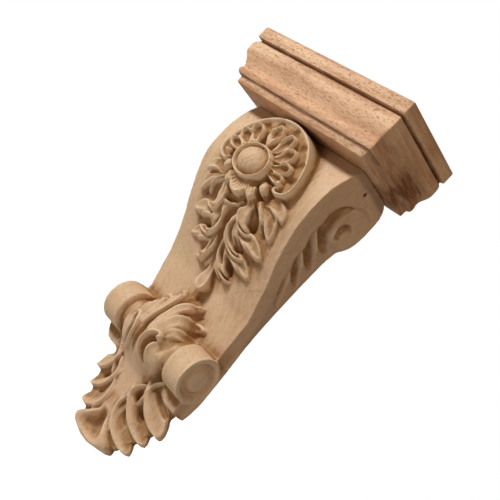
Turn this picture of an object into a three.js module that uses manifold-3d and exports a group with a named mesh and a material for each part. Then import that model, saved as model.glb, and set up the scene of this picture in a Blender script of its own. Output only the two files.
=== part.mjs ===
// Carved wood corbel with a moulded cap block, millimetres, +Z up.
// X runs across the face, +Y points into the wall, and the wall plane is y = 0.
// The origin is on the flat back of the body, where it is fixed to the wall.
// Heights on the body are given as a drop below the top of a 43.3 mm cap and joint.
import * as THREE from "three";
import { mergeVertices } from "three/addons/utils/BufferGeometryUtils.js";
import Module from "manifold-3d";

const wasm = await Module();
wasm.setup();

// Body: its top above the wall mount and its own height. Its tables run from TABLE_START
// to TABLE_END and are shares of that height.
const BODY_TOP = 76.7;
const BODY_HEIGHT = 250.7;
const TABLE_START = 43.3;
const TABLE_END = 294;
const JOINT_GAP = 0.3;

// Cap sizes: members of the moulding from the top down, and how far each one sits in
const CAP_WIDTH = 150;
const CAP_DEPTH = 74;
const SLAB_HEIGHT = 9.6;
const SLAB_EASE = 0.9;
const GROOVE_HEIGHT = 2;
const GROOVE_INSET = 3;
const OVOLO_HEIGHT = 9.7;
const OVOLO_INSET = 0.3;
const COVE_HEIGHT = 11.1;
const COVE_INSET = 4.9;
const BEAD_HEIGHT = 5.9;
const BEAD_INSET = 4.1;
const FILLET_HEIGHT = 4.7;
const FILLET_INSET = 7.8;
const CAP_HEIGHT = SLAB_HEIGHT + GROOVE_HEIGHT + OVOLO_HEIGHT + COVE_HEIGHT + BEAD_HEIGHT + FILLET_HEIGHT;

// Rosette sizes: a flat fan of petals in a half round rim, y is how far each part stands out
const ROSETTE_DROP = 83.5;
const RIM_RADIUS = 39;
const RIM_WIDTH = 2.6;
const RIM_Y = -61.2;
const FAN_FLOOR_Y = -57.4;
const ROSETTE_ROOT_Y = -42;
const PETAL_ANGLES = [-4, 17, 39, 65, 96, 130, 152, 173];
const PETAL_HALF_WIDTHS = [5.2, 5.4, 5.8, 6.4, 7.2, 6.0, 5.4, 5.2];
const PETAL_INNER = 13;
const PETAL_OUTER = 33;
const PETAL_Y = -66;
const PETAL_HOLLOW = 4.6;
const RING_RADIUS = 14.4;
const RING_Y = -68.4;
const DOME_RADIUS = 11.8;
const DOME_Y = -71.2;

// Volute sizes
const ROLL_RADIUS = 17;
const ROLL_Y = -15.8;
const ROLL_DROP = 209.4;
const ROLL_INNER_X = 31;
const ROLL_OUTER_X = 50.6;
const ROLL_CORE_RADIUS = 12.5;

// Arrises of the cap's moulding: depth below its top and inset, worked out member by member
function capProfile() {
  const groove = SLAB_HEIGHT;
  const ovolo = groove + GROOVE_HEIGHT;
  const cove = ovolo + OVOLO_HEIGHT;
  const bead = cove + COVE_HEIGHT;
  const fillet = bead + BEAD_HEIGHT;
  const rows = [
    [0, SLAB_EASE],
    [SLAB_EASE, 0],
    [groove, 0],
    [groove + GROOVE_HEIGHT * 0.4, GROOVE_INSET],
    [ovolo, GROOVE_INSET * 0.9],
  ];
  for (const [down, share] of [[0.16, 0.35], [0.38, 0.05], [0.7, 0]]) {
    rows.push([ovolo + OVOLO_HEIGHT * down, OVOLO_INSET + (GROOVE_INSET - OVOLO_INSET) * share]);
  }
  for (const [down, share] of [[0, 0.07], [0.2, 0.28], [0.4, 0.55], [0.62, 0.8], [0.84, 0.98], [1, 1]]) {
    rows.push([cove + COVE_HEIGHT * down, OVOLO_INSET + (COVE_INSET - OVOLO_INSET) * share]);
  }
  for (const [down, share] of [[0.16, 0.75], [0.45, 1], [0.72, 0.85], [0.9, 0.45]]) {
    rows.push([bead + BEAD_HEIGHT * down, COVE_INSET + (BEAD_INSET - COVE_INSET) * share]);
  }
  rows.push([fillet, FILLET_INSET - 0.4]);
  rows.push([CAP_HEIGHT, FILLET_INSET]);
  return rows;
}

// Body stations: drop, front y, half width at the front edge, band edge y, half width at the back, back y
const BODY_STATIONS = [
  [TABLE_START, -44.4, 57.1, -20, 55.4, -8.0],
  [45.5, -45.8, 57.1, -20, 55.6, -3.6],
  [49, -47.6, 56.9, -20, 55.6, -0.9],
  [53, -49.6, 56.6, -20, 55.4, 0],
  [59, -51.9, 56.1, -20, 55.2, 0],
  [67, -53.9, 55.6, -20, 55.1, 0],
  [76, -54.7, 55.4, -20, 54.7, 0],
  [82, -54.7, 55.4, -22, 54.0, 0],
  [87, -54.4, 55.3, -36.5, 48.5, 0],
  [93, -53.4, 54.9, -36.3, 47.0, 0],
  [99.5, -51.6, 54.3, -34.4, 46.6, 0],
  [105, -49.4, 53.8, -32.7, 46.4, 0],
  [110, -46.8, 53.1, -31.0, 46.3, 0],
  [116, -43.8, 52.4, -28.9, 46.2, 0],
  [122.5, -40.1, 51.7, -26.2, 46.2, 0],
  [128, -36.2, 51.4, -23.4, 46.2, 0],
  [134, -32.2, 51.1, -20.0, 46.2, 0],
  [140, -28.8, 50.5, -16.6, 46.2, 0],
  [147, -25.1, 50.0, -13.4, 46.2, 0],
  [154, -21.7, 49.9, -10.5, 46.3, 0],
  [160, -18.9, 49.7, -8.5, 46.4, 0],
  [167, -16.8, 49.0, -6.5, 46.8, 0],
  [174, -15.4, 48.2, -5.0, 47.3, 0],
  [181, -13.2, 46.8, -4.0, 48.2, 0],
  [188, -12.0, 46.4, -3.5, 49.4, 0],
  [197, -12.0, 48.0, -3.5, 50.4, 0],
  [212, -12.0, 49.5, -3.5, 51.6, 0],
  [222, -12.5, 50.0, -5.0, 52.3, 0],
  [231, -12.5, 49.6, -6.0, 51.2, 0],
  [237.5, -10.0, 48.4, -5.0, 49.6, 0],
];

// Middle line of the leaf that hangs over the roll and ends at the foot: drop and y
const CENTRE_LINE = [
  [166, -12.5],
  [172, -15.5],
  [179, -20.5],
  [188, -26.5],
  [198, -31.5],
  [208, -34.0],
  [216, -34.2],
  [223, -31.0],
  [229, -24.5],
  [235, -18.0],
  [243, -14.6],
  [252, -12.0],
  [262, -8.6],
  [272, -5.8],
  [281, -4.6],
  [294, -4.0],
];

function catmull(a, b, c, d, t) {
  const t2 = t * t;
  const t3 = t2 * t;
  return 0.5 * (2 * b + (c - a) * t + (2 * a - 5 * b + 4 * c - d) * t2 + (3 * b - a - 3 * c + d) * t3);
}

function linear(rows, column, key) {
  if (key <= rows[0][0]) {
    return rows[0][column];
  }
  for (let i = 1; i < rows.length; i += 1) {
    if (key <= rows[i][0]) {
      const t = (key - rows[i - 1][0]) / (rows[i][0] - rows[i - 1][0]);
      return rows[i - 1][column] * (1 - t) + rows[i][column] * t;
    }
  }
  return rows[rows.length - 1][column];
}

function height(drop) {
  return BODY_TOP - ((drop - TABLE_START) / (TABLE_END - TABLE_START)) * BODY_HEIGHT;
}

// A surface that is straight across X and follows a curve in the Y and Z plane.
// place(x, arc, lift) gives the point at that arc length, lifted along the outward normal.
function sheet(rows, startDrop, endDrop, sideFall) {
  const steps = 400;
  const line = [];
  let arc = 0;
  for (let i = 0; i <= steps; i += 1) {
    const drop = startDrop + ((endDrop - startDrop) * i) / steps;
    const y = linear(rows, 1, drop);
    if (i > 0) {
      const last = line[i - 1];
      arc += Math.hypot(drop - last.drop, y - last.y);
    }
    line.push({ drop, y, arc });
  }
  function at(arcLength) {
    let low = 0;
    let high = line.length - 1;
    while (high - low > 1) {
      const middle = (low + high) >> 1;
      if (line[middle].arc <= arcLength) {
        low = middle;
      } else {
        high = middle;
      }
    }
    const p = line[low];
    const q = line[high];
    const t = (arcLength - p.arc) / (q.arc - p.arc);
    const before = line[Math.max(0, low - 9)];
    const after = line[Math.min(line.length - 1, high + 9)];
    const length = Math.hypot(after.drop - before.drop, after.y - before.y);
    return {
      drop: p.drop + (q.drop - p.drop) * t,
      y: p.y + (q.y - p.y) * t,
      normalY: -(after.drop - before.drop) / length,
      normalDrop: (after.y - before.y) / length,
    };
  }
  function place(x, arcLength, lift) {
    const p = at(arcLength);
    const y = p.y + p.normalY * lift + sideFall * x * x;
    return new THREE.Vector3(x, y, height(p.drop + p.normalDrop * lift));
  }
  function arcOf(drop) {
    for (const p of line) {
      if (p.drop >= drop) {
        return p.arc;
      }
    }
    return line[line.length - 1].arc;
  }
  return { place, arcOf, length: arc };
}

// Closed solid through a row of rings with equal point counts, with both ends filled.
function loft(rings, closed = false) {
  const n = rings[0].length;
  const positions = [];
  const index = [];
  for (const ring of rings) {
    for (const p of ring) {
      positions.push(p.x, p.y, p.z);
    }
  }
  const last = closed ? rings.length : rings.length - 1;
  for (let i = 0; i < last; i += 1) {
    const j = (i + 1) % rings.length;
    for (let k = 0; k < n; k += 1) {
      const m = (k + 1) % n;
      index.push(i * n + k, i * n + m, j * n + m);
      index.push(i * n + k, j * n + m, j * n + k);
    }
  }
  if (!closed) {
    for (const i of [0, rings.length - 1]) {
      const centre = new THREE.Vector3();
      for (const p of rings[i]) {
        centre.add(p);
      }
      centre.divideScalar(n);
      const c = positions.length / 3;
      positions.push(centre.x, centre.y, centre.z);
      for (let k = 0; k < n; k += 1) {
        const m = (k + 1) % n;
        if (i === 0) {
          index.push(c, i * n + m, i * n + k);
        } else {
          index.push(c, i * n + k, i * n + m);
        }
      }
    }
  }
  const geometry = new THREE.BufferGeometry();
  geometry.setAttribute("position", new THREE.Float32BufferAttribute(positions, 3));
  geometry.setIndex(index);
  return geometry;
}

function volume(geometry) {
  const p = geometry.attributes.position;
  const index = geometry.index;
  const a = new THREE.Vector3();
  const b = new THREE.Vector3();
  const c = new THREE.Vector3();
  let sum = 0;
  for (let i = 0; i < index.count; i += 3) {
    a.fromBufferAttribute(p, index.getX(i));
    b.fromBufferAttribute(p, index.getX(i + 1));
    c.fromBufferAttribute(p, index.getX(i + 2));
    sum += a.dot(b.clone().cross(c));
  }
  return sum / 6;
}

function solid(source) {
  const geometry = source.clone();
  geometry.deleteAttribute("normal");
  geometry.deleteAttribute("uv");
  const merged = mergeVertices(geometry, 1e-4);
  const flip = volume(merged) < 0;
  const triangles = [];
  for (let i = 0; i < merged.index.count; i += 3) {
    const a = merged.index.getX(i);
    const b = merged.index.getX(i + 1);
    const c = merged.index.getX(i + 2);
    if (a !== b && b !== c && a !== c) {
      triangles.push(a, flip ? c : b, flip ? b : c);
    }
  }
  return new wasm.Manifold(new wasm.Mesh({
    numProp: 3,
    vertProperties: Float32Array.from(merged.attributes.position.array),
    triVerts: Uint32Array.from(triangles),
  }));
}

function surface(manifold) {
  const mesh = manifold.getMesh();
  const geometry = new THREE.BufferGeometry();
  const points = [];
  for (let i = 0; i < mesh.numVert; i += 1) {
    for (let k = 0; k < 3; k += 1) {
      points.push(mesh.vertProperties[i * mesh.numProp + k]);
    }
  }
  geometry.setAttribute("position", new THREE.Float32BufferAttribute(points, 3));
  geometry.setIndex(Array.from(mesh.triVerts));
  return geometry;
}

// Point and direction on a curve through a few plan points, given as [across, along].
function along(points, t) {
  const last = points.length - 1;
  const place = Math.min(last - 1e-9, t * last);
  const i = Math.floor(place);
  const u = place - i;
  const a = points[Math.max(0, i - 1)];
  const b = points[i];
  const c = points[i + 1];
  const d = points[Math.min(last, i + 2)];
  return [catmull(a[0], b[0], c[0], d[0], u), catmull(a[1], b[1], c[1], d[1], u)];
}

function heading(points, t) {
  const p = along(points, Math.max(0, t - 0.02));
  const q = along(points, Math.min(1, t + 0.02));
  const length = Math.hypot(q[0] - p[0], q[1] - p[1]);
  return [(q[0] - p[0]) / length, (q[1] - p[1]) / length];
}

// One leaflet laid on a sheet: a tapering blade with raised rims and a scooped middle.
// path is in sheet plan, width is the greatest half width, lift the height of its rims.
function leaflet(on, path, width, lift, options = {}) {
  const { scoop = 0.45, root = 0.7, tip = 0.35, steps = 4, bury = 2.5, tipLift = 0.75 } = options;
  const rings = [];
  for (let i = 0; i <= steps; i += 1) {
    const t = i / steps;
    const [px, ps] = along(path, t);
    const [dx, ds] = heading(path, t);
    const body = Math.pow(Math.sin(Math.PI * Math.min(1, 0.16 + t * 0.84)), 0.6);
    const half = width * Math.max(t > 0.5 ? tip : root, body);
    const rise = lift * (t < 0.25 ? 0.75 + t : 1 - (1 - tipLift) * Math.max(0, (t - 0.6) / 0.4));
    const dip = rise * scoop * (t > 0.95 ? 0.4 : 1);
    const profile = [
      [-1, -bury],
      [-1, rise * 0.55],
      [-0.72, rise],
      [0, rise - dip],
      [0.72, rise],
      [1, rise * 0.55],
      [1, -bury],
    ];
    rings.push(profile.map(([u, h]) => on.place(px - ds * half * u, ps + dx * half * u, h)));
  }
  return loft(rings);
}

function mirrored(geometry) {
  const copy = geometry.clone();
  copy.scale(-1, 1, 1);
  return copy;
}

// Channel cut into the right side face along a path of [y, drop], with its half width and depth.
function sideChannel(path, halfWidth, depth, faceX, steps = 6) {
  const rings = [];
  for (let i = 0; i <= steps; i += 1) {
    const t = i / steps;
    const [y, drop] = along(path, t);
    const [dy, dd] = heading(path, t);
    const half = halfWidth * Math.min(1, 0.35 + t * 1.6);
    const deep = depth * Math.min(1, 0.3 + t * 1.8, Math.max(0.3, 2.1 - t * 2));
    const face = faceX(y, drop);
    const profile = [
      [-1.3, 10],
      [-1, 0.2],
      [-0.4, -deep],
      [0.4, -deep],
      [1, 0.2],
      [1.3, 10],
    ];
    rings.push(profile.map(([u, h]) => new THREE.Vector3(
      face + h,
      y - dd * half * u,
      height(drop + dy * half * u),
    )));
  }
  return loft(rings);
}

// Cap block
function capGeometry() {
  const rings = capProfile().map(([down, inset]) => {
    const x = CAP_WIDTH / 2 - inset;
    const y = -(CAP_DEPTH - inset);
    const z = BODY_TOP + JOINT_GAP + CAP_HEIGHT - down;
    return [
      new THREE.Vector3(-x, y, z),
      new THREE.Vector3(x, y, z),
      new THREE.Vector3(x, 0, z),
      new THREE.Vector3(-x, 0, z),
    ];
  });
  return loft(rings);
}

// Plain block of the body, before any carving
function blockGeometry() {
  const rings = BODY_STATIONS.map(([drop, front, half, band, backHalf, back]) => {
    const middle = Math.min(band, back - 0.5);
    const plan = [
      [-half, front],
      [half, front],
      [half, middle],
      [backHalf, back],
      [-backHalf, back],
      [-half, middle],
    ];
    return plan.map(([x, y]) => new THREE.Vector3(leaned(x, drop), y, height(drop)));
  });
  return loft(rings);
}

function sideFace(y, drop) {
  const half = linear(BODY_STATIONS, 2, drop);
  const band = linear(BODY_STATIONS, 3, drop);
  const backHalf = linear(BODY_STATIONS, 4, drop);
  if (y <= band) {
    return half;
  }
  return half + (backHalf - half) * Math.min(1, (y - band) / -band);
}

// Flutes below the top volute, then the hollow and the groove of the volute itself
const SIDE_CUTS = [
  { path: [[-23, 62.5], [-31, 68], [-33.5, 77], [-25, 86], [-8, 89.5], [6, 89]], width: 4.2, depth: 6.2 },
  { path: [[-35.5, 86], [-33.5, 95], [-24, 102], [-9, 106], [5, 107]], width: 4.4, depth: 5.6 },
  { path: [[-31.5, 103], [-28, 111], [-20, 117], [-8, 121], [5, 123]], width: 4.2, depth: 5.0 },
  { path: [[-26.5, 118], [-23, 127], [-16, 135], [-7, 140], [4, 143]], width: 3.8, depth: 4.2 },
  { path: [[-12, 80.5], [-17.5, 76.5], [-16.5, 70.5], [-12.5, 69.5]], width: 3.6, depth: 4.0 },
];

function sideTools() {
  const list = SIDE_CUTS.map((cut) => sideChannel(cut.path, cut.width, cut.depth, sideFace));
  return list.concat(list.map(mirrored));
}

// Lower volute: a short roll with a raised rim, a sunk ring and a domed button on its end
function rollGeometry() {
  const sides = 24;
  const profile = [
    [ROLL_INNER_X, ROLL_RADIUS - 2.0],
    [ROLL_INNER_X + 2.5, ROLL_RADIUS],
    [ROLL_OUTER_X, ROLL_RADIUS - 0.7],
    [ROLL_OUTER_X, ROLL_RADIUS - 3.1],
    [ROLL_OUTER_X - 2.4, ROLL_RADIUS - 4.6],
    [ROLL_OUTER_X - 0.9, ROLL_RADIUS - 7.6],
    [ROLL_OUTER_X - 0.1, ROLL_RADIUS - 12],
  ];
  const rings = profile.map(([x, radius]) => {
    const ring = [];
    for (let k = 0; k < sides; k += 1) {
      const angle = (k / sides) * Math.PI * 2;
      ring.push(new THREE.Vector3(
        x,
        ROLL_Y + radius * Math.cos(angle),
        height(ROLL_DROP) + radius * Math.sin(angle),
      ));
    }
    return ring;
  });
  return loft(rings);
}

// Thinner middle of the roll, behind the centre leaf
function rollCoreGeometry() {
  const sides = 18;
  return loft([-ROLL_INNER_X - 0.6, ROLL_INNER_X + 0.6].map((x) => {
    const ring = [];
    for (let k = 0; k < sides; k += 1) {
      const angle = (k / sides) * Math.PI * 2;
      ring.push(new THREE.Vector3(
        x,
        ROLL_Y + ROLL_CORE_RADIUS * Math.cos(angle),
        height(ROLL_DROP) + ROLL_CORE_RADIUS * Math.sin(angle),
      ));
    }
    return ring;
  }));
}

// Point of the rosette's flat plane, at a radius and an angle from +X, standing out to y
function polar(radius, angle, y) {
  return new THREE.Vector3(radius * Math.cos(angle), y, height(ROSETTE_DROP) + radius * Math.sin(angle));
}

function rosetteBoss() {
  const sides = 22;
  const profile = [
    [RING_RADIUS + 1, ROSETTE_ROOT_Y],
    [RING_RADIUS + 0.6, RING_Y + 3.2],
    [RING_RADIUS, RING_Y + 0.4],
    [RING_RADIUS - 0.9, RING_Y],
    [RING_RADIUS - 1.7, RING_Y + 1.2],
    [DOME_RADIUS + 0.5, RING_Y + 2.8],
    [DOME_RADIUS - 0.6, RING_Y + 2.0],
    [DOME_RADIUS * 0.8, DOME_Y + 2.2],
    [DOME_RADIUS * 0.45, DOME_Y + 0.6],
  ];
  return loft(profile.map(([radius, y]) => {
    const ring = [];
    for (let k = 0; k < sides; k += 1) {
      ring.push(polar(radius, (k / sides) * Math.PI * 2, y));
    }
    return ring;
  }));
}

// Plan of the fan, a half round that closes a little below the rosette's middle
function fanFloor() {
  const plan = [[-30, 7.5], [-12, 16], [12, 16], [30, 7.5]];
  for (let k = 0; k <= 14; k += 1) {
    const angle = -0.12 + (k / 14) * (Math.PI + 0.24);
    const radius = RIM_RADIUS - RIM_WIDTH / 2;
    plan.push([radius * Math.cos(angle), -radius * Math.sin(angle)]);
  }
  return loft([ROSETTE_ROOT_Y, FAN_FLOOR_Y].map((y) => plan.map(([x, down]) => (
    new THREE.Vector3(x, y, height(ROSETTE_DROP + down))
  ))));
}

function rosettePetal(index) {
  const angle = (PETAL_ANGLES[index] * Math.PI) / 180;
  const wide = PETAL_HALF_WIDTHS[index];
  const rows = [
    [PETAL_INNER, 0.3, PETAL_Y + 3.0, 0.2],
    [PETAL_INNER + 5, 0.36, PETAL_Y + 1.8, 0.5],
    [PETAL_INNER + 10, 0.84, PETAL_Y + 0.7, PETAL_HOLLOW * 0.8],
    [PETAL_INNER + 15, 1, PETAL_Y, PETAL_HOLLOW],
    [PETAL_OUTER - 1.6, 0.82, PETAL_Y, PETAL_HOLLOW * 0.5],
    [PETAL_OUTER, 0.4, PETAL_Y + 1.4, 0],
  ];
  return loft(rows.map(([radius, widthShare, top, hollow]) => {
    const half = wide * widthShare;
    const profile = [
      [-1, ROSETTE_ROOT_Y],
      [-1, top + 1.2],
      [-0.76, top],
      [0, top + hollow],
      [0.76, top],
      [1, top + 1.2],
      [1, ROSETTE_ROOT_Y],
    ];
    return profile.map(([u, y]) => {
      const p = polar(radius, angle, y);
      return new THREE.Vector3(p.x - Math.sin(angle) * half * u, p.y, p.z + Math.cos(angle) * half * u);
    });
  }));
}

// Half round rim, its two lower ends curled inwards
function rosetteRim() {
  const path = [[24.2, 3.2], [25.4, 6.2], [29.5, 6.6], [35.5, 5.2]];
  for (let k = 0; k <= 16; k += 1) {
    const angle = (k / 16) * Math.PI;
    const radius = RIM_RADIUS - RIM_WIDTH / 2;
    path.push([radius * Math.cos(angle), -radius * Math.sin(angle)]);
  }
  path.push([-35.5, 5.2], [-29.5, 6.6], [-25.4, 6.2], [-24.2, 3.2]);
  const rings = [];
  const steps = 36;
  for (let i = 0; i <= steps; i += 1) {
    const t = i / steps;
    const [x, down] = along(path, t);
    const [dx, dd] = heading(path, t);
    const half = RIM_WIDTH / 2;
    const profile = [[-1, ROSETTE_ROOT_Y], [-0.8, RIM_Y], [0.8, RIM_Y], [1, ROSETTE_ROOT_Y]];
    rings.push(profile.map(([u, y]) => (
      new THREE.Vector3(x - dd * half * u, y, height(ROSETTE_DROP + down + dx * half * u))
    )));
  }
  return loft(rings);
}

// Small rounded leaflets and the lined tongue below the boss, right half: plan path [x, drop]
const UNDER_LEAFLETS = [
  { path: [[12, 86], [22, 88], [31, 87.5]], half: 3.4, y: -63.5 },
  { path: [[10, 90], [18, 93.5], [25, 94]], half: 3.6, y: -62.5 },
  { path: [[8, 93], [13, 98.5], [17.5, 101.5]], half: 3.6, y: -61 },
];

function underLeaflet({ path, half: widest, y: top }) {
  const rings = [];
  const shares = [0.5, 0.8, 1, 0.95, 0.5];
  for (let i = 0; i < shares.length; i += 1) {
    const t = i / (shares.length - 1);
    const [x, drop] = along(path, t);
    const [dx, dd] = heading(path, t);
    const half = widest * shares[i];
    const rise = top + (i === shares.length - 1 ? 2.2 : 0);
    const profile = [[-1, -42], [-1, rise + 2], [-0.45, rise], [0.45, rise], [1, rise + 2], [1, -42]];
    rings.push(profile.map(([u, y]) => new THREE.Vector3(x - dd * half * u, y, height(drop + dx * half * u))));
  }
  return loft(rings);
}

function tongue() {
  const rows = [[92, 9, -60.5], [98, 10.5, -60], [102, 9.5, -58.5], [105.5, 4, -56]];
  return loft(rows.map(([drop, half, top]) => {
    const profile = [[-1, -40], [-1, top + 2.5], [-0.5, top], [0.5, top], [1, top + 2.5], [1, -40]];
    return profile.map(([u, y]) => new THREE.Vector3(half * u, y, height(drop)));
  }));
}

// Leaflets of the hanging leaf, right half: plan path [x, arc], half width, height
const HANGING_LEAFLETS = [
  { path: [[8, 63], [24, 57.5], [41, 60]], width: 5.4, lift: 5.6 },
  { path: [[8, 66], [27, 65], [42, 74]], width: 6.4, lift: 5.4 },
  { path: [[7, 69], [17, 76], [31, 78.5]], width: 5.0, lift: 6.4 },
  { path: [[5, 77], [22, 80], [38.5, 88]], width: 5.0, lift: 5.2 },
  { path: [[4, 82], [14, 91], [30, 94]], width: 5.2, lift: 6.2 },
  { path: [[3, 92], [18, 96], [35, 103.5]], width: 4.8, lift: 5.0 },
  { path: [[2.5, 96], [11, 107], [23, 110]], width: 4.6, lift: 5.8 },
  { path: [[2, 107], [9, 114], [20, 117]], width: 3.6, lift: 4.6 },
];

function hangingRib(on) {
  const rows = [
    [60, 11.0, 4.5],
    [65, 11.0, 5.4],
    [77, 7.0, 5.8],
    [92, 4.8, 5.0],
    [108, 3.4, 4.2],
    [119, 3.6, 4.0],
    [127, 6.0, 6.6],
    [133, 4.6, 9.0],
    [136, 1.8, 8.2],
  ];
  const rings = rows.map(([arc, half, lift]) => {
    const profile = [
      [-1, -2.5],
      [-1, lift * 0.7],
      [-0.6, lift],
      [0, lift * 0.72],
      [0.6, lift],
      [1, lift * 0.7],
      [1, -2.5],
    ];
    return profile.map(([u, h]) => on.place(half * u, arc, h));
  });
  return loft(rings);
}

// Mass of the centre leaf over the roll, and its leaflets on the right half
function centreMass(on) {
  const rows = [
    [174, 6],
    [182, 12],
    [190, 19],
    [199, 24],
    [208, 26],
    [217, 26],
    [225, 24],
    [231, 20],
    [237, 17],
    [246, 15],
    [256, 13],
    [266, 12],
    [276, 14],
    [283, 19],
    [288, 18],
    [292.6, 9],
  ];
  const rings = rows.map(([drop, half]) => {
    const y = linear(CENTRE_LINE, 1, drop);
    const z = height(drop);
    const deep = 2.2;
    const points = [[-1, 0.42], [-0.8, 0.74], [-0.42, 0.98], [0, 1], [0.42, 0.98], [0.8, 0.74], [1, 0.42]];
    const ring = points.map(([u, k]) => {
      const groove = u === 0 ? deep : 0;
      return new THREE.Vector3(half * u, Math.min(-2.5, y * k + groove), z);
    });
    ring.push(new THREE.Vector3(half, 2, z));
    ring.push(new THREE.Vector3(-half, 2, z));
    return ring;
  });
  return loft(rings);
}

const CENTRE_LEAFLETS = [
  { path: [[3.5, 200], [4.5, 186], [9.5, 170]], width: 4.6, lift: 4.4, tipLift: 1.5 },
  { path: [[6, 209], [13, 196], [23, 182]], width: 5.0, lift: 4.2, tipLift: 1.2 },
  { path: [[8, 216], [17, 206], [26, 194]], width: 4.8, lift: 3.6, tipLift: 1.0 },
];

// Rim of the curled lobe beside the middle line, plan points [x, drop]
const CURL_PATH = [[3, 203], [12, 202.5], [18.5, 209], [17, 218], [9, 223.5], [3.5, 226]];

// Lobes of the foot leaf, right half: plan path [x, drop], half width, y at the root and at the tip
const FOOT_LOBES = [
  { path: [[14, 228], [30, 230], [48, 236]], width: 5.6, root: -15, tip: -6 },
  { path: [[10, 234], [28, 240], [47, 254.5]], width: 8.2, root: -15.5, tip: -5 },
  { path: [[8, 241], [24, 251], [40, 265.5]], width: 7.2, root: -14, tip: -4.5 },
  { path: [[7, 251], [20, 263], [33.8, 276.5]], width: 6.6, root: -11.5, tip: -4 },
  { path: [[7, 263], [16, 274], [24.5, 286]], width: 6.2, root: -9.5, tip: -4 },
];

// The foot leaf leans: its middle line moves to the right towards the foot,
// and its left half is a little narrower.
const FOOT_LEAN = 2.2;
const LEFT_SHARE = 0.87;

function leaned(x, drop) {
  const lean = FOOT_LEAN * Math.min(1, Math.max(0, (drop - 228) / 50));
  const share = Math.min(1, Math.max(0, (drop - 228) / 10));
  return (x < 0 ? x * (1 + (LEFT_SHARE - 1) * share) : x) + lean;
}

// Ground behind the lobes, plan points [x, drop] of its right half
const FOOT_GROUND = [[44, 224], [43, 240], [40, 258], [33.5, 269], [26.5, 280], [19, 289]];

function footGround() {
  const plan = FOOT_GROUND.concat(FOOT_GROUND.map(([x, drop]) => [-x, drop]).reverse());
  return loft([2, -3.6].map((y) => plan.map(([x, drop]) => (
    new THREE.Vector3(leaned(x, drop), y, height(drop))
  ))));
}

function footLobe({ path, width, root, tip }, side) {
  const steps = 5;
  const rings = [];
  for (let i = 0; i <= steps; i += 1) {
    const t = i / steps;
    const [x, drop] = along(path, t);
    const [dx, dd] = heading(path, t);
    const half = width * [0.5, 0.8, 1, 1, 0.82, 0.3][i];
    const y = root + (tip - root) * Math.pow(t, 0.9);
    const dip = 0.28 * (1 - 0.7 * t);
    const profile = [
      [-1, 2],
      [-1, y * 0.72],
      [-0.7, y],
      [0.05, y * (1 - dip * 1.25)],
      [0.74, y * 0.96],
      [1, y * 0.7],
      [1, 2],
    ];
    rings.push(profile.map(([u, depth]) => {
      const down = drop + dx * half * u;
      return new THREE.Vector3(leaned(side * (x - dd * half * u), down), depth, height(down));
    }));
  }
  return loft(rings);
}

// Scooped lip at the foot
function footTip() {
  const rows = [
    [274, 12, -7.0, -6.4],
    [281, 20, -7.4, -3.6],
    [286, 22, -9.0, -3.4],
    [290, 19, -9.6, -6.6],
    [293.4, 9, -7.6, -7.0],
  ];
  const rings = rows.map(([drop, half, edge, middle]) => {
    const z = height(drop);
    const points = [
      [-1, 2],
      [-1, edge * 0.7],
      [-0.75, edge],
      [-0.3, middle],
      [0, middle],
      [0.3, middle],
      [0.75, edge],
      [1, edge * 0.7],
      [1, 2],
    ];
    return points.map(([u, y]) => new THREE.Vector3(leaned(half * u, drop), y, z));
  });
  return loft(rings);
}

function bodyGeometry() {
  const front = sheet(BODY_STATIONS, TABLE_START, 190, 0);
  const centre = sheet(CENTRE_LINE, CENTRE_LINE[0][0], TABLE_END, 0.011);
  let body = solid(blockGeometry());
  for (const tool of sideTools()) {
    body = body.subtract(solid(tool));
  }
  const added = [rollGeometry(), mirrored(rollGeometry()), rollCoreGeometry()];
  added.push(fanFloor(), rosetteBoss(), rosetteRim(), tongue());
  for (let k = 0; k < PETAL_ANGLES.length; k += 1) {
    added.push(rosettePetal(k));
  }
  for (const row of UNDER_LEAFLETS) {
    const blade = underLeaflet(row);
    added.push(blade, mirrored(blade));
  }
  added.push(hangingRib(front));
  for (const row of HANGING_LEAFLETS) {
    const blade = leaflet(front, row.path, row.width, row.lift);
    added.push(blade, mirrored(blade));
  }
  added.push(centreMass(centre));
  for (const row of CENTRE_LEAFLETS) {
    const path = row.path.map(([x, drop]) => [x, centre.arcOf(drop)]);
    const blade = leaflet(centre, path, row.width, row.lift, { tipLift: row.tipLift, bury: 5 });
    added.push(blade, mirrored(blade));
  }
  const curl = CURL_PATH.map(([x, drop]) => [x, centre.arcOf(drop)]);
  const rim = leaflet(centre, curl, 2.0, 4.6, { scoop: 0, root: 0.8, tip: 0.6, steps: 9, bury: 4 });
  added.push(rim, mirrored(rim));
  for (const lobe of FOOT_LOBES) {
    added.push(footLobe(lobe, 1), footLobe(lobe, -1));
  }
  added.push(footGround(), footTip());
  for (const piece of added) {
    body = body.add(solid(piece));
  }
  // Flat back and a flat seat under the cap
  const behind = new THREE.BoxGeometry(2 * CAP_WIDTH, CAP_DEPTH, 4 * BODY_HEIGHT);
  behind.translate(0, CAP_DEPTH / 2, 0);
  body = body.subtract(solid(behind));
  const above = new THREE.BoxGeometry(2 * CAP_WIDTH, 4 * CAP_DEPTH, 2 * CAP_HEIGHT);
  above.translate(0, 0, BODY_TOP + CAP_HEIGHT);
  body = body.subtract(solid(above));
  return surface(body);
}

const cap = new THREE.Mesh(
  surface(solid(capGeometry())),
  new THREE.MeshStandardMaterial({ color: 0xc99a72, roughness: 0.62, metalness: 0 }),
);
cap.name = "cap";

const body = new THREE.Mesh(
  bodyGeometry(),
  new THREE.MeshStandardMaterial({ color: 0xc9a57c, roughness: 0.66, metalness: 0 }),
);
body.name = "body";

const corbel = new THREE.Group();
corbel.name = "corbel";
corbel.add(cap);
corbel.add(body);

export default corbel;
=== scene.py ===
import math

import bpy
import numpy as np
from mathutils import Matrix, Vector


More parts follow.
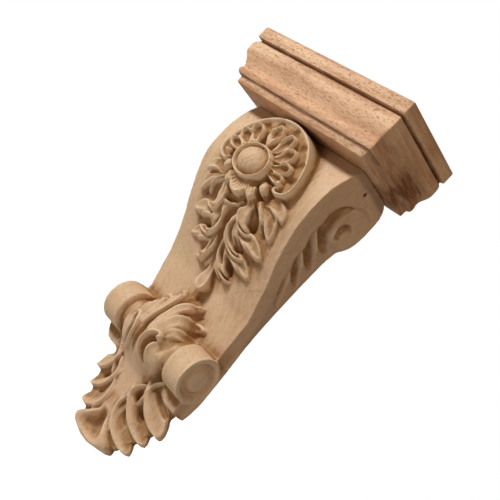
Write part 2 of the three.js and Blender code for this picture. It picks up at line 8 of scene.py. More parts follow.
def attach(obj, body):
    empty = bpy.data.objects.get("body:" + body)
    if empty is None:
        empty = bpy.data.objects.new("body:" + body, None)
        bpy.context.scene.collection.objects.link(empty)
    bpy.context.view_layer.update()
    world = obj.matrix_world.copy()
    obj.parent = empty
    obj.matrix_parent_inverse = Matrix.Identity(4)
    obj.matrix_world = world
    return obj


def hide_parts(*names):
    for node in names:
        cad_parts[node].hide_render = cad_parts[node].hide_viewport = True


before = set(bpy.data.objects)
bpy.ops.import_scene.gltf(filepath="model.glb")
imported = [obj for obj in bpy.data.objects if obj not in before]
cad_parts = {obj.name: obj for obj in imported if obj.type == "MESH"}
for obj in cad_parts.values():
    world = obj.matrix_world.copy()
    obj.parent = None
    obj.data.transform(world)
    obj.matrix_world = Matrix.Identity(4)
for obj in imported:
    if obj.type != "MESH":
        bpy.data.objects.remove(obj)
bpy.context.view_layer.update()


# ---- Corbel body: the sawn block
# The body is one piece of pale, bare hardwood, about 250 mm tall. It is bandsawn to a scroll in
# side view, with a flat back and a flat seat for the cap, and all carving is cut into it.
# Its sizes are in millimetres, and a drop is the distance below the top of the cap.
CAP_TOP = 120.0
SEAT_DROP = 43.3
FOOT_DROP = 293.4
CUT = 0.52  # spacing of the grids that hold the carving
FINE = 0.25  # spacing at which a row of sizes is read

# drop, front y, half width at the front, y of the side band's rear edge, half width at the back,
# and back y
BLOCK = [
    (43.3, -44.4, 57.1, -20.0, 55.4, -8.0),
    (45.5, -45.8, 57.1, -20.0, 55.6, -3.6),
    (49.0, -47.6, 56.9, -20.0, 56.0, -0.9),
    (53.0, -49.6, 56.6, -20.0, 56.6, 0.0),
    (59.0, -51.9, 56.1, -20.0, 57.0, 0.0),
    (67.0, -53.9, 55.6, -20.0, 57.0, 0.0),
    (75.0, -54.7, 55.4, -20.0, 56.2, 0.0),
    (80.0, -54.7, 55.4, -21.0, 54.6, 0.0),
    (84.0, -54.6, 55.3, -28.0, 52.0, 0.0),
    (87.5, -54.4, 55.3, -36.5, 48.6, 0.0),
    (93.0, -53.4, 54.9, -36.3, 47.6, 0.0),
    (99.5, -51.6, 54.3, -34.4, 46.8, 0.0),
    (110.0, -46.8, 53.1, -31.0, 46.4, 0.0),
    (122.5, -40.1, 51.7, -26.2, 46.2, 0.0),
    (134.0, -32.2, 51.1, -20.0, 46.2, 0.0),
    (147.0, -25.1, 50.0, -13.4, 46.2, 0.0),
    (160.0, -18.9, 49.7, -8.5, 46.4, 0.0),
    (174.0, -15.4, 48.2, -5.0, 47.3, 0.0),
    (188.0, -12.0, 46.4, -3.5, 49.4, 0.0),
    (197.0, -12.0, 48.0, -3.5, 50.4, 0.0),
    (212.0, -12.0, 49.5, -3.5, 51.6, 0.0),
    (222.0, -12.5, 50.0, -5.0, 52.2, 0.0),
    (231.0, -12.5, 49.6, -6.0, 51.2, 0.0),
    (237.5, -10.0, 48.4, -5.0, 49.6, 0.0),
]


def rounded_kernel(count):
    """Weights of a soft average over that many places."""
    weights = np.hanning(count + 2)[1:-1]
    return weights / weights.sum()


def eased(rows, column, at, soft=7.0):
    """One column of a list of sizes, read as a smooth curve."""
    fine = np.arange(rows[0][0] - 20, rows[-1][0] + 20, FINE)
    line = np.interp(fine, [r[0] for r in rows], [r[column] for r in rows])
    count = max(3, int(soft / FINE))
    padded = np.pad(line, (count // 2, count - 1 - count // 2), mode="edge")
    return np.interp(at, fine, np.convolve(padded, rounded_kernel(count), "valid"))


def curve_points(path, count=30):
    """Points along a smooth curve through a few plan points."""
    p = np.array(path, float)
    last = len(p) - 1
    place = np.linspace(0, last - 1e-9, count)
    i = np.floor(place).astype(int)
    u = (place - i)[:, None]
    a, b = p[np.maximum(i - 1, 0)], p[i]
    c, d = p[i + 1], p[np.minimum(i + 2, last)]
    bend, twist = 2 * a - 5 * b + 4 * c - d, 3 * b - a - 3 * c + d
    return 0.5 * (2 * b + (c - a) * u + bend * u**2 + twist * u**3)


def smooth_step(value):
    value = np.clip(value, 0, 1)
    return value * value * (3 - 2 * value)


class Relief:
    """Depth of a carved face over a plan grid. Across is the plan's first axis, drop its second."""

    def __init__(self, across, drop, depth):
        self.across, self.drop = across, drop
        self.a, self.d = np.meshgrid(across, drop)
        self.depth = depth.copy()
        self.ground = depth.copy()
        slope = np.gradient(depth, drop, axis=0)
        self.stretch = np.sqrt(1 + np.clip(slope, -1.2, 1.2) ** 2)

    def near(self, path, margin):
        """Part of the grid about a path, with the share along it and the distances from it."""
        points = curve_points(path)
        low, high = points.min(0) - margin, points.max(0) + margin
        cols = slice(*np.searchsorted(self.across, [low[0], high[0]]))
        rows = slice(*np.searchsorted(self.drop, [low[1], high[1]]))
        a, d = self.a[rows, cols], self.d[rows, cols]
        best = np.full(a.shape, 1e9)
        share, side = np.zeros(a.shape), np.zeros(a.shape)
        count = len(points) - 1
        for k in range(count):
            ax, ad = points[k]
            bx, bd = points[k + 1] - points[k]
            length = bx * bx + bd * bd + 1e-9
            t = np.clip(((a - ax) * bx + (d - ad) * bd) / length, 0, 1)
            dx, dd = a - ax - t * bx, d - ad - t * bd
            reach = dx * dx + dd * dd
            closer = reach < best
            best = np.where(closer, reach, best)
            share = np.where(closer, (k + t) / count, share)
            side = np.where(closer, np.sign(bx * dd - bd * dx), side)
        return (rows, cols), share, side * np.sqrt(best), np.sqrt(best)

    def stand(self, region, top, share):
        """Raises the wood inside a region to a surface, with the share falling off at its walls."""
        was = self.depth[region]
        self.depth[region] = np.minimum(was, was + (top - was) * share)

    def leaflet(self, path, width, lifts=None, levels=None, root=0.55, belly=0.5, tip=0.25,
                scoop=0.45, lean=0.0, tilt=0.0, wall=1.0, sharp=0.5):
        """A tapering blade with raised rims and a scooped middle, standing on the face.

        Its top is given as lifts above the face or as levels. Root, belly and tip shape its
        outline, lean and tilt move its hollow, and wall is how wide its edge falls off.
        """
        region, t, side, reach = self.near(path, width + 3)
        if not t.size:
            return
        grow = root + (1 - root) * np.sin(np.clip(t / belly, 0, 1) * math.pi / 2)
        shrink = np.clip((t - belly) / (1 - belly), 0, 1)
        half = width * np.where(t < belly, grow, tip + (1 - tip) * (1 - shrink**2) ** sharp)
        v = np.clip(side / half, -1.2, 1.2)
        if levels is None:
            rise = np.interp(t, [0, 0.5, 1], lifts)
            top = self.ground[region] - self.stretch[region] * rise
        else:
            top = np.interp(t, np.linspace(0, 1, len(levels)), levels)
            rise = np.full(t.shape, 7.0)
        ends = smooth_step(t / 0.2) * smooth_step((1 - t) / 0.22 + 0.15)
        bowl = np.clip(1 - ((v - lean) / (0.86 - abs(lean) * 0.4)) ** 2, 0, 1) ** 1.15
        top = top + rise * (scoop * bowl * ends + tilt * (1 - v) / 2)
        self.stand(region, top, smooth_step((half - reach) / wall))

    def bead(self, path, width, lifts=None, levels=None):
        """A thin raised rim with a rounded crest."""
        self.leaflet(path, width, lifts, levels, root=0.8, tip=0.7, scoop=-0.12, wall=0.8)

    def gouge(self, path, width, depth, start=0.3, end=0.3, peak=0.5, power=0.8, steep=1.0):
        """A hollow cut along a path, deepest at its peak, and steeper on its left where asked."""
        region, t, side, reach = self.near(path, width + 1)
        if not t.size:
            return
        before, after = t / peak, (1 - t) / (1 - peak)
        swell = np.sin(np.clip(np.minimum(before, after), 0, 1) * math.pi / 2)
        least = np.where(t < peak, start, end)
        half = width * (least + (1 - least) * swell**0.8) * np.where(side > 0, steep, 1.0)
        u = np.clip(reach / half, 0, 1)
        self.depth[region] += depth * (least + (1 - least) * swell) * (1 - u * u) ** power


def shifted(values, axis, reach):
    """A grid moved along one axis by each number of cells up to a reach, its edges repeated."""
    pad = [(0, 0), (0, 0)]
    pad[axis] = (reach, reach)
    wide = np.pad(values, pad, mode="edge")
    for k in range(2 * reach + 1):
        yield np.take(wide, range(k, k + values.shape[axis]), axis=axis)


def soften(values, size):
    """Blurs a grid by a rounded kernel that reaches that many cells."""
    reach = max(1, int(round(size)))
    weights = rounded_kernel(2 * reach + 1)
    for axis in (0, 1):
        values = sum(w * layer for w, layer in zip(weights, shifted(values, axis, reach)))
    return values


# the grids reach a little past the wood on every side
drop_line = np.arange(41.6, 295.2, CUT)
half_line = np.arange(0, 60.5, CUT)
half_front = np.repeat(eased(BLOCK, 1, drop_line)[:, None], len(half_line), axis=1)
half_face = Relief(half_line, drop_line, half_front)


# ---- Corbel body: hanging leaf on the front
# Under the rosette an acanthus leaf hangs down the front, cut 5 to 8 mm proud of the bulge. Each
# half has overlapping lobes of scooped leaflets with thin rims, beside a smooth channelled rib.
arc_drop = np.arange(SEAT_DROP, 200, FINE)
arc_y = eased(BLOCK, 1, arc_drop)
arc_length = np.concatenate([[0], np.cumsum(np.hypot(np.diff(arc_drop), np.diff(arc_y)))])


def on_front(path):
    """Plan points given by the length down the curved front, as plan points by drop."""
    return [(x, float(np.interp(s, arc_length, arc_drop))) for x, s in path]


# each leaflet's path, half width, lifts, scoop and tilt
HANGING_LEAFLETS = [
    ([(24, 56.6), (31, 54.6), (38.5, 56.0), (43.6, 61.0)], 5.4, (3.6, 5.8, 3.2), 0.42, 0.2),
    ([(20, 59.5), (28, 60.8), (36.0, 66.5), (40.4, 76.8)], 6.6, (4.6, 6.8, 3.4), 0.42, 0.3),
    ([(13.5, 60), (14.2, 67), (16.5, 74), (21.5, 80.2)], 7.2, (5.5, 7.2, 6.8), 0.14, 0.10),
    ([(14, 83.4), (23, 84.0), (32.0, 86.0), (39.8, 89.6)], 6.0, (4.4, 6.4, 3.2), 0.42, 0.3),
    ([(6.5, 76), (8.2, 84), (12.5, 91), (19.5, 97.4)], 6.4, (5.5, 7.0, 6.4), 0.16, 0.10),
    ([(9, 99.2), (18, 100.0), (27, 102.3), (35.2, 105.8)], 5.4, (4.0, 5.8, 3.0), 0.42, 0.3),
    ([(3.9, 93), (5.2, 101), (8.8, 108), (15.5, 114.2)], 5.2, (5.0, 6.4, 5.6), 0.16, 0.10),
    ([(2.6, 107), (4.6, 113), (9, 118.6)], 3.2, (3.6, 4.6, 3.4), 0.30, 0.0),
]
for path, width, lifts, scoop, tilt in HANGING_LEAFLETS:
    half_face.leaflet(on_front(path), width, lifts=lifts, scoop=scoop, tilt=tilt, root=0.45,
                      tip=0.05, sharp=0.95, lean=-0.22)
# the eyes between the lobes and the shallow veins, each with its depth and where it is deepest
HANGING_EYES = [
    ([(18.5, 64), (20.6, 70), (21.6, 77.0)], 2.9, 7.5, 0.85),
    ([(7.4, 79), (8.0, 87), (11.6, 92.4), (16.5, 95.8)], 1.5, 3.6, 0.6),
    ([(13.4, 88), (16.0, 92.0), (18.5, 95.4)], 2.6, 6.5, 0.85),
    ([(5.4, 97), (6.2, 103), (9.4, 109)], 1.3, 3.0, 0.6),
    ([(10.6, 103), (13.4, 107), (16.4, 111.4)], 2.3, 5.5, 0.8),
    ([(27, 58.0), (33, 59.6), (38.6, 63.0)], 1.0, 2.6, 0.6),
    ([(27, 63.5), (31.5, 69), (34, 75)], 1.6, 2.8, 0.5),
    ([(24, 88.0), (29, 90.6), (33.5, 92.0)], 1.5, 2.4, 0.5),
    ([(20, 103.6), (25, 105.6), (29.5, 106.8)], 1.3, 2.0, 0.5),
]
for path, width, depth, peak in HANGING_EYES:
    half_face.gouge(on_front(path), width, depth, start=0.15, end=0.6, peak=peak, power=0.6)
HANGING_RIMS = [
    ([(14.4, 60.5), (11.4, 66.6), (10.3, 72.4), (11.8, 78.3), (15.4, 82), (20.6, 82.6),
      (25.6, 80.6)], (6.4, 8.6, 6.4)),
    ([(9.4, 74.6), (5.3, 82.0), (4.3, 89.0), (7.0, 95.0), (13.5, 99.4), (20, 100.0),
      (25.4, 98.0)], (6.0, 8.0, 6.0)),
    ([(4.6, 91.5), (3.7, 99.0), (4.9, 107.0), (8.6, 113.8), (14.0, 117.2), (19.4, 116.4)],
     (5.6, 7.2, 5.4)),
    ([(21, 58.5), (24.5, 62), (27.6, 67.5), (30.4, 74.0)], (5.4, 6.4, 4.0)),
]
for path, lifts in HANGING_RIMS:
    half_face.bead(on_front(path), 1.1, lifts=lifts)
# the rib's length down the front, half width and lift
RIB_STATIONS = [
    (60, 12.5, 5.0), (66, 11.2, 6.2), (73, 9.8, 6.6), (80, 6.6, 6.2), (88, 4.6, 5.6),
    (98, 3.7, 5.0), (110, 3.2, 4.6), (118, 3.4, 5.0), (124, 5.4, 6.0), (129, 7.0, 7.6),
    (133, 5.6, 8.4), (136.5, 1.4, 7.8),
]
RIB_START, RIB_TIP = 58.5, 137
rib_arc = np.interp(half_face.d, arc_drop, arc_length)
rib_half = eased(RIB_STATIONS, 1, rib_arc, 5.0)
rib_lift = eased(RIB_STATIONS, 2, rib_arc, 5.0)
rib_u = half_face.a / np.maximum(rib_half, 0.5)
rib_in = smooth_step((rib_half - half_face.a) / 1.1) * (rib_arc > RIB_START)
rib_in = rib_in * smooth_step((RIB_TIP - rib_arc) / 1.4)
floor = 0.52 - 0.42 * np.clip(1 - (rib_arc - 60) / 9, 0, 1)
floor = floor + 0.3 * smooth_step((rib_arc - 116) / 12)
channel = floor + (1 - floor) * np.clip(rib_u, 0, 1) ** 1.8
rib_top = half_face.ground - half_face.stretch * rib_lift * channel
whole_grid = np.s_[:, :]
half_face.stand(whole_grid, rib_top, rib_in)


# ---- Corbel body: the two rolls and the leaf over them
# Near the bottom the scroll rolls forward into a pair of short cylinders, 17 mm in radius. A leaf
# is draped over the roll between them, with a deep groove each side of it.
ROLL_RADIUS, ROLL_Y, ROLL_DROP = 17.0, -15.8, 209.4
ROLL_INNER, ROLL_OUTER, CORE_RADIUS = 31.0, 50.6, 12.5
NO_ROLL = 10.0  # a front y far behind the wood
# drop and front y along the middle, from the roll's leaf to the tip of the foot
CENTRE_LINE = [
    (160, -14.0), (166, -14.5), (172, -17.5), (179, -21.5), (188, -27.5), (198, -32.5),
    (208, -35.0), (216, -34.6), (223, -31.0), (229, -24.5), (235, -18.6), (243, -14.8),
    (252, -12.0), (262, -8.8), (272, -6.2), (281, -4.8), (294, -4.2),
]
across, down = half_face.a, half_face.d


def roll_front(radius):
    """Front of a level cylinder about the roll's axis."""
    inner = np.clip(radius**2 - (down - ROLL_DROP) ** 2, 0, None)
    return np.where(inner > 0, ROLL_Y - np.sqrt(inner), NO_ROLL)


core = np.where(across < ROLL_INNER + 1, roll_front(CORE_RADIUS), NO_ROLL)
half_face.depth = np.minimum(half_face.depth, core)
round_in = np.clip((ROLL_INNER + 2.6 - across) / 2.6, 0, 1)
roll = roll_front(ROLL_RADIUS) + 2.4 * round_in**2
half_face.stand(whole_grid, roll, smooth_step((across - ROLL_INNER + 0.5) / 1.0))

# drop and half width of the wood that the middle leaves are cut from
MASS_ROWS = [
    (172, 5), (176, 8), (182, 13), (190, 19), (199, 24), (208, 26.5), (217, 27), (225, 25),
    (231, 21.5), (237, 18), (246, 15.5), (256, 13.5), (266, 12.5), (276, 14), (282, 19),
    (288, 18), (292.6, 6),
]
mass_half = eased(MASS_ROWS, 1, down, 5.0)
mass_y = eased(CENTRE_LINE, 1, down, 6.0)
mass_u = np.clip(across / np.maximum(mass_half, 0.5), 0, 1)
mass_in = smooth_step((mass_half - across) / 3.0)
mass_in = mass_in * smooth_step((down - 173) / 3) * smooth_step((286 - down) / 4)
half_face.stand(whole_grid, mass_y * (1 - 0.22 * mass_u**2.4), mass_in)

draped = Relief(half_line, drop_line, half_face.depth)
draped.ground = soften(half_face.depth, 2.0 / CUT)
DRAPED_LEAFLETS = [
    ([(4.2, 207), (4.4, 193), (6.2, 182), (12.6, 173.6)], 4.8, (1.6, 3.4, 5.6), 0.42),
    ([(8.5, 212), (10.0, 198), (15.0, 188.6), (25.4, 184.0)], 5.4, (1.6, 3.2, 4.2), 0.46),
    ([(14.5, 206), (17.5, 200), (21.5, 196), (27.2, 193.6)], 4.2, (1.4, 2.6, 3.0), 0.42),
]
for path, width, lifts, scoop in DRAPED_LEAFLETS:
    draped.leaflet(path, width, lifts=lifts, scoop=scoop, root=0.5, tip=0.06, wall=1.3,
                   sharp=0.8, lean=0.25)
# the vein down the middle, and the curl at each side of it with its deep eye
draped.gouge([(0, 172), (0.1, 190), (0.2, 204), (0.3, 218), (0.2, 229)], 2.0, 3.6,
             start=0.9, end=0.2, peak=0.4)
draped.gouge([(7.2, 205), (7.6, 193), (10.5, 184), (16, 179)], 1.0, 1.6, start=0.2, end=0.8)
draped.bead([(16.4, 205.0), (13.4, 204.0), (9.6, 205.6), (6.8, 210), (5.6, 216), (6.8, 223.3),
             (10.6, 228.6)], 1.6, lifts=(2.8, 3.4, 1.0))
draped.gouge([(14.6, 208.2), (10.6, 210.6), (9.4, 216), (10.6, 222.6), (13.8, 227)], 2.6, 4.6,
             start=0.9, end=0.3, peak=0.3)
draped.bead([(16.6, 208.4), (14.6, 212.6), (13.2, 218), (14.0, 224), (17.6, 228.0)], 1.0,
            lifts=(1.4, 1.2, 0.4))
draped.gouge([(21, 200), (22, 208), (20, 216)], 2.4, 1.6, start=0.5, end=0.2, peak=0.3)
half_face.depth = draped.depth


# ---- Corbel body: the foot leaf
# Below the roll the block ends in a leaf that lies on the wall plane. Scooped lobes fan out to each
# side of a broad smooth channel, which flares into a hollowed lip at the tip.
NO_WOOD = 6.0  # a front y behind the wall plane
# each lobe's path, half width, levels, scoop and tilt
FOOT_LOBES = [
    ([(8.5, 253), (12, 261), (20, 269.4), (36, 277.6)], 8.6, (-12.4, -12.2, -9.8, -5.2), 0.3, 0.45),
    ([(13, 240), (17, 247), (26, 256), (41, 266)], 8.8, (-15.4, -14.8, -11.2, -5.2), 0.32, 0.5),
    ([(22, 229), (27, 236), (35, 245), (47.6, 254.8)], 8.8, (-17.0, -16.0, -12.0, -5.6), 0.34, 0.5),
    ([(30, 226.5), (36, 229.0), (42, 232), (48.6, 236)], 5.4, (-14.5, -12.5, -9, -6.2), 0.24, 0.1),
]
foot = Relief(half_line, drop_line, half_face.depth)
edge_half = np.interp(down, [224, 240, 258, 269, 280, 289, 292.8], [44, 43, 40, 33.5, 26.5, 19, 4])
fan_rise = np.interp(down, [236, 250, 266, 280, 292], [9.5, 7.5, 4.4, 2.2, 1.0])
ground_y = -4.2 - fan_rise * smooth_step((edge_half - across) / (edge_half - 8))
ground_y = ground_y + 1.6 * smooth_step((across - edge_half + 2) / 2)
ground_y = np.where(across < edge_half, ground_y, NO_WOOD)
beside_mass = (down > 236.5) & (across > mass_half)
foot.depth = np.where(beside_mass, np.maximum(foot.depth, ground_y), foot.depth)
foot.depth = np.where(beside_mass & (across > edge_half), NO_WOOD, foot.depth)
foot.depth = np.where(down > FOOT_DROP - 0.2, NO_WOOD, foot.depth)
for path, width, levels, scoop, tilt in FOOT_LOBES:
    foot.leaflet(path, width, levels=levels, root=0.5, belly=0.6, tip=0.1, scoop=scoop, tilt=tilt,
                 lean=-0.3, wall=1.1, sharp=0.8)
FOOT_EYES = [
    ([(27.5, 231), (31, 236.5), (38.5, 240.5), (44, 242.5)], 3.0, 4.0),
    ([(15.4, 240.5), (15.4, 245), (17.4, 249.5)], 1.7, 5.5),
    ([(21.5, 248.5), (24.4, 253.0), (29, 256.5)], 2.9, 5.5),
    ([(13.4, 257), (16.0, 262.0), (21, 266)], 1.5, 3.0),
]
for path, width, depth in FOOT_EYES:
    foot.gouge(path, width, depth, start=0.2, end=0.5, peak=0.6)
FOOT_RIMS = [
    ([(29.5, 226.5), (25.0, 232.0), (24.6, 239.0), (30.0, 247.4), (38.5, 253.4), (46.4, 256.0)],
     (-17.5, -17.2, -14.8, -10.8, -7.6, -5.6)),
    ([(18.6, 236.5), (13.4, 243), (12.6, 250), (17.6, 257.8), (27, 264), (38.5, 267.4)],
     (-17.2, -16.8, -15.2, -11.6, -8.4, -5.4)),
    ([(22.8, 236), (22.4, 243), (19.6, 250)], (-16.0, -14.0, -12.0)),
    ([(10.6, 249.5), (7.6, 257), (8.0, 264.5), (13.4, 272), (23, 277.4), (32.5, 279.2)],
     (-14.6, -13.6, -12.2, -10.0, -7.6, -5.2)),
]
for path, levels in FOOT_RIMS:
    foot.bead(path, 1.2, levels=levels)
# the lip's drop, half width, and y at its edge and in its middle
LIP_ROWS = [
    (266, 7.0, -8.6, -7.4), (272, 9.6, -9.4, -5.2), (276, 14.0, -10.8, -2.2),
    (280, 19.5, -11.8, -0.8), (284, 24.4, -12.2, -1.2), (287, 25.0, -11.8, -4.6),
    (289.4, 21.5, -11.2, -9.6), (291.4, 14, -9.8, -9.4), (293.4, 5, -7.8, -7.6),
]
lip_half = eased(LIP_ROWS, 1, down, 3.0)
lip_edge, lip_middle = eased(LIP_ROWS, 2, down, 3.0), eased(LIP_ROWS, 3, down, 3.0)
lip_u = np.clip(across / np.maximum(lip_half, 0.5), 0, 1)
lip_top = lip_middle + (lip_edge - lip_middle) * smooth_step(lip_u / 0.7)
lip_top = lip_top + 4.6 * np.clip((lip_u - 0.68) / 0.32, 0, 1) ** 1.6
lip_share = smooth_step((lip_half - across) / 1.3) * smooth_step((down - 266) / 6)
lip_share = lip_share * (down < FOOT_DROP - 0.1)
foot.depth = foot.depth + (lip_top - foot.depth) * lip_share
foot.depth = np.where(foot.depth > 2.5, NO_WOOD, foot.depth)
half_face.depth = foot.depth


# ---- Corbel body: both halves of the front
# The two halves are carved alike by eye, so they differ a little, and the foot leans to one side
# and is narrower on its left.
FOOT_LEAN, LEFT_SHARE, LEAN_DROP = 2.2, 0.87, 228
cross_line = np.arange(-58.6, 58.8, CUT)


def left_share(drop):
    """Width of the left half against the right one, which is broader at the foot."""
    return 1 + (LEFT_SHARE - 1) * np.clip((drop - LEAN_DROP) / 10, 0, 1)


def leaned_back(x, drop):
    """Plan place before the foot was leaned, for a place on the real face."""
    moved = x - FOOT_LEAN * np.clip((drop - LEAN_DROP) / 50, 0, 1)
    return np.where(moved < 0, moved / left_share(drop), moved)


plan_x, plan_drop = np.meshgrid(cross_line, drop_line)
wander = 0.35 * np.sin(plan_drop * 0.11 + 1.0) * np.sin(plan_x * 0.09)
wander = wander + 0.25 * np.sin(plan_drop * 0.23 + plan_x * 0.17)
column = np.abs(leaned_back(plan_x + wander * (np.abs(plan_x) < 45), plan_drop)) / CUT
near_column = np.clip(column.astype(int), 0, len(half_line) - 2)
part = np.clip(column - near_column, 0, 1)
row = np.arange(len(drop_line))[:, None]
near_depth, far_depth = half_face.depth[row, near_column], half_face.depth[row, near_column + 1]
front = Relief(cross_line, drop_line, near_depth * (1 - part) + far_depth * part)


# ---- Corbel body: the rosette
# Under the cap the front carries a flat fan of spoon-shaped petals, cut into its floor inside a
# half round rim. Small leaflets and a lined tongue join it to the hanging leaf.
ROSETTE_DROP, RIM_RADIUS, RIM_WIDTH, RIM_Y, FLOOR_Y = 83.5, 39.4, 2.4, -62.0, -58.4
FAN_X = -1.0
# each petal's angle, half width and outer reach
PETALS = [
    (3, 4.0, 29.5), (20, 5.2, 31.0), (43, 5.9, 31.5), (68, 5.8, 32.5), (98, 6.0, 32.5),
    (134, 5.6, 34.5), (151, 5.2, 34.5), (168, 4.6, 34.0),
]
PETAL_INNER, PETAL_Y, BOWL_DEPTH, POCKET_DEPTH = 13.0, -65.4, 6.2, 2.4
fan_up = ROSETTE_DROP - front.d
radius = np.hypot(front.a - FAN_X, fan_up)
half_round = (fan_up > -6) | (radius < 20)
fan_in = smooth_step((RIM_RADIUS - 0.6 - radius) / 0.8) * half_round * smooth_step((fan_up + 7) / 2)
fan_y = FLOOR_Y + 1.6 * np.cos(np.clip((radius - 22) / 15, 0, 1) * math.pi)
front.stand(whole_grid, fan_y, fan_in)
# the rim is a half circle whose ends hook inwards
rim_hook = [(25.8, 87.6), (26.6, 90.0), (30.2, 90.2), (35.2, 88.4)]
rim_line = RIM_RADIUS - 1.3
rim_path = rim_hook + [
    (rim_line * math.cos(a), ROSETTE_DROP - rim_line * math.sin(a))
    for a in np.linspace(0, math.pi, 17)
]
rim_path += [(-x, d) for x, d in reversed(rim_hook)]
for first in range(0, len(rim_path) - 1, 3):
    region, _, _, reach = front.near(rim_path[max(0, first - 1):first + 5], 4)
    crown = RIM_Y + 0.8 * np.clip(reach / (RIM_WIDTH / 2), 0, 1) ** 2
    front.stand(region, crown, smooth_step((RIM_WIDTH / 2 + 0.5 - reach) / 1.0))
petal_rays = [(math.radians(degrees), wide, outer) for degrees, wide, outer in PETALS]


def fan_points(a, reaches):
    """Plan points out along one ray of the fan."""
    return [(FAN_X + r * math.cos(a), ROSETTE_DROP - r * math.sin(a)) for r in reaches]


for a, wide, outer in petal_rays:
    end = outer - wide * 0.8
    ray = fan_points(a, [PETAL_INNER + (end - PETAL_INNER) * share for share in (0, 0.4, 0.75, 1)])
    front.leaflet(ray, wide, levels=(PETAL_Y + 2.4, PETAL_Y + 1.2, PETAL_Y, PETAL_Y), root=0.26,
                  belly=0.86, tip=0.86, scoop=0.0, wall=0.9)
for a, wide, outer in petal_rays:
    end = outer - wide * 0.85
    first = 16.5 if a < 1.3 else 21.0  # the bowls at the right start nearer the boss
    front.gouge(fan_points(a, (first, end - 4, end)), wide - 1.25, BOWL_DEPTH, start=0.3,
                end=0.85, peak=0.74, power=0.35)
# the pockets in the floor between the petals
for degrees in (10, 30, 53, 80, 106, 126):
    a = math.radians(degrees)
    pocket = [(r * math.cos(a), ROSETTE_DROP - r * math.sin(a)) for r in (30.5, 33, 35.5)]
    front.gouge(pocket, 3.4, POCKET_DEPTH, start=0.5, end=0.7)
# the small leaflets under the rosette, the same on both sides
UNDER_LEAFLETS = [
    ([(28.0, 84.9), (29.6, 86.0)], 3.2, (-64, -63.8, -63)),
    ([(17.6, 90.0), (20.4, 92.6), (22.4, 96.0)], 4.6, (-61.6, -62.2, -60.0)),
    ([(9.8, 95.2), (11.8, 98.2), (15.4, 102.0)], 5.6, (-60.6, -61.4, -58.4)),
]
for path, width, levels in UNDER_LEAFLETS:
    for sign in (1, -1):
        front.leaflet([(sign * x, d) for x, d in path], width, levels=levels, root=0.8, belly=0.4,
                      tip=0.3, scoop=-0.25, wall=1.8)
# the rib's deep channel, the smooth leaf at its left, and the leaf that folds over its top
front.gouge([(10.5, 105.6), (4, 110.0), (-0.8, 117), (-2.4, 126), (-1.4, 136)], 4.4, 5.6,
            start=0.55, end=0.2, peak=0.35)
front.leaflet([(-13, 105), (-12.4, 113), (-9.0, 123), (-4.6, 134)], 4.8,
              levels=(-54, -51.4, -45.4, -38.0), root=0.9, belly=0.3, tip=0.5, scoop=0.08, wall=1.6)
front.leaflet([(-9, 112.4), (-2, 109.4), (6, 104.6)], 2.3, levels=(-51.6, -54.4, -56.0),
              root=0.8, tip=0.5, scoop=-0.2, wall=1.2)
front.gouge([(-7, 109.6), (-1.4, 108.8), (5.4, 103.6)], 3.0, 6.0, start=0.6, end=0.6)
# the tongue under the boss, with fine lines fanned over it
TONGUE_DROP, TONGUE_Y = 92, -63.8
tongue_in = 1 - np.hypot((front.a + 0.6) / 10.8, (front.d - TONGUE_DROP) / 14.8)
tongue_in = smooth_step(tongue_in * 11) * (front.d > 88)
front.stand(whole_grid, TONGUE_Y + 0.16 * (front.d - TONGUE_DROP), tongue_in)
for k in range(-5, 6):
    a = math.radians(97 + k * 10)
    line = [(3.5 + r * math.cos(a), 86.5 + r * math.sin(a)) for r in (9.5, 13, 17.0)]
    front.gouge(line, 0.85, 1.5, start=0.8, end=0.6)


# ---- Corbel body: the boss, and the plain wood of the front
# The boss is a dome inside a thin ring, with the strokes of the knife left on it. The plain wood is
# planed by hand, and a fine scratch runs across its right.
SCRATCH_X, SCRATCH_DROP, SCRATCH_SLOPE = 51, 139, 0.51


def scratched(x, drop, strength):
    """The scratch, starting at the right edge and fading out towards the middle."""
    away = np.abs(drop - SCRATCH_DROP - SCRATCH_SLOPE * (SCRATCH_X - x))
    return strength * smooth_step((0.6 - away) / 0.5) * smooth_step((x - 33) / 8)


front.depth += scratched(front.a, front.d, 0.16)
BOSS_X, BOSS_DROP = -2.0, 82.4
RING_RADIUS, RING_Y, RING_HALF = 14.0, -67.6, 0.9
DOME_RADIUS, DOME_Y, DOME_HEIGHT = 11.9, -71.6, 8.4
boss_r = np.hypot((front.a - BOSS_X) / 1.15, (front.d - BOSS_DROP) * 1.11)
ring_off = np.abs(boss_r - RING_RADIUS + 0.7)
ring_top = RING_Y + 0.9 * np.clip(ring_off / RING_HALF, 0, 1) ** 2
dome_fall = 1 - np.sqrt(np.clip(1 - 0.9 * (boss_r / DOME_RADIUS) ** 2, 0, 1))
dome = DOME_Y + DOME_HEIGHT * dome_fall / 0.684
strokes = np.sin(1.7 * (front.a + 0.45 * front.d) + 1.4 * np.sin(front.d * 0.45))
dome = dome + 0.13 * (1.3 + strokes) * smooth_step((DOME_RADIUS - 1 - boss_r) / 3)
boss = np.where(boss_r < DOME_RADIUS, dome, RING_Y + 4.4)
boss = np.where(ring_off < RING_HALF, ring_top, boss)
boss_share = smooth_step((RING_RADIUS + 1.1 - boss_r) / 1.0)
front.depth = front.depth + (boss - front.depth) * boss_share
# the end of the draped leaf's right curl
front.leaflet([(15.6, 206.6), (17.4, 207.6)], 2.3, levels=(-36.2, -36, -35), scoop=-0.2, root=0.9,
              tip=0.8)
# the long strokes of the plane
plane_wave = np.sin(front.a * 0.52 + 1.6 * np.sin(front.d * 0.14))
front.depth += 0.07 * plane_wave * np.sin(front.d * 0.41 + 0.5)
front.depth = soften(front.depth, 0.5 / CUT)


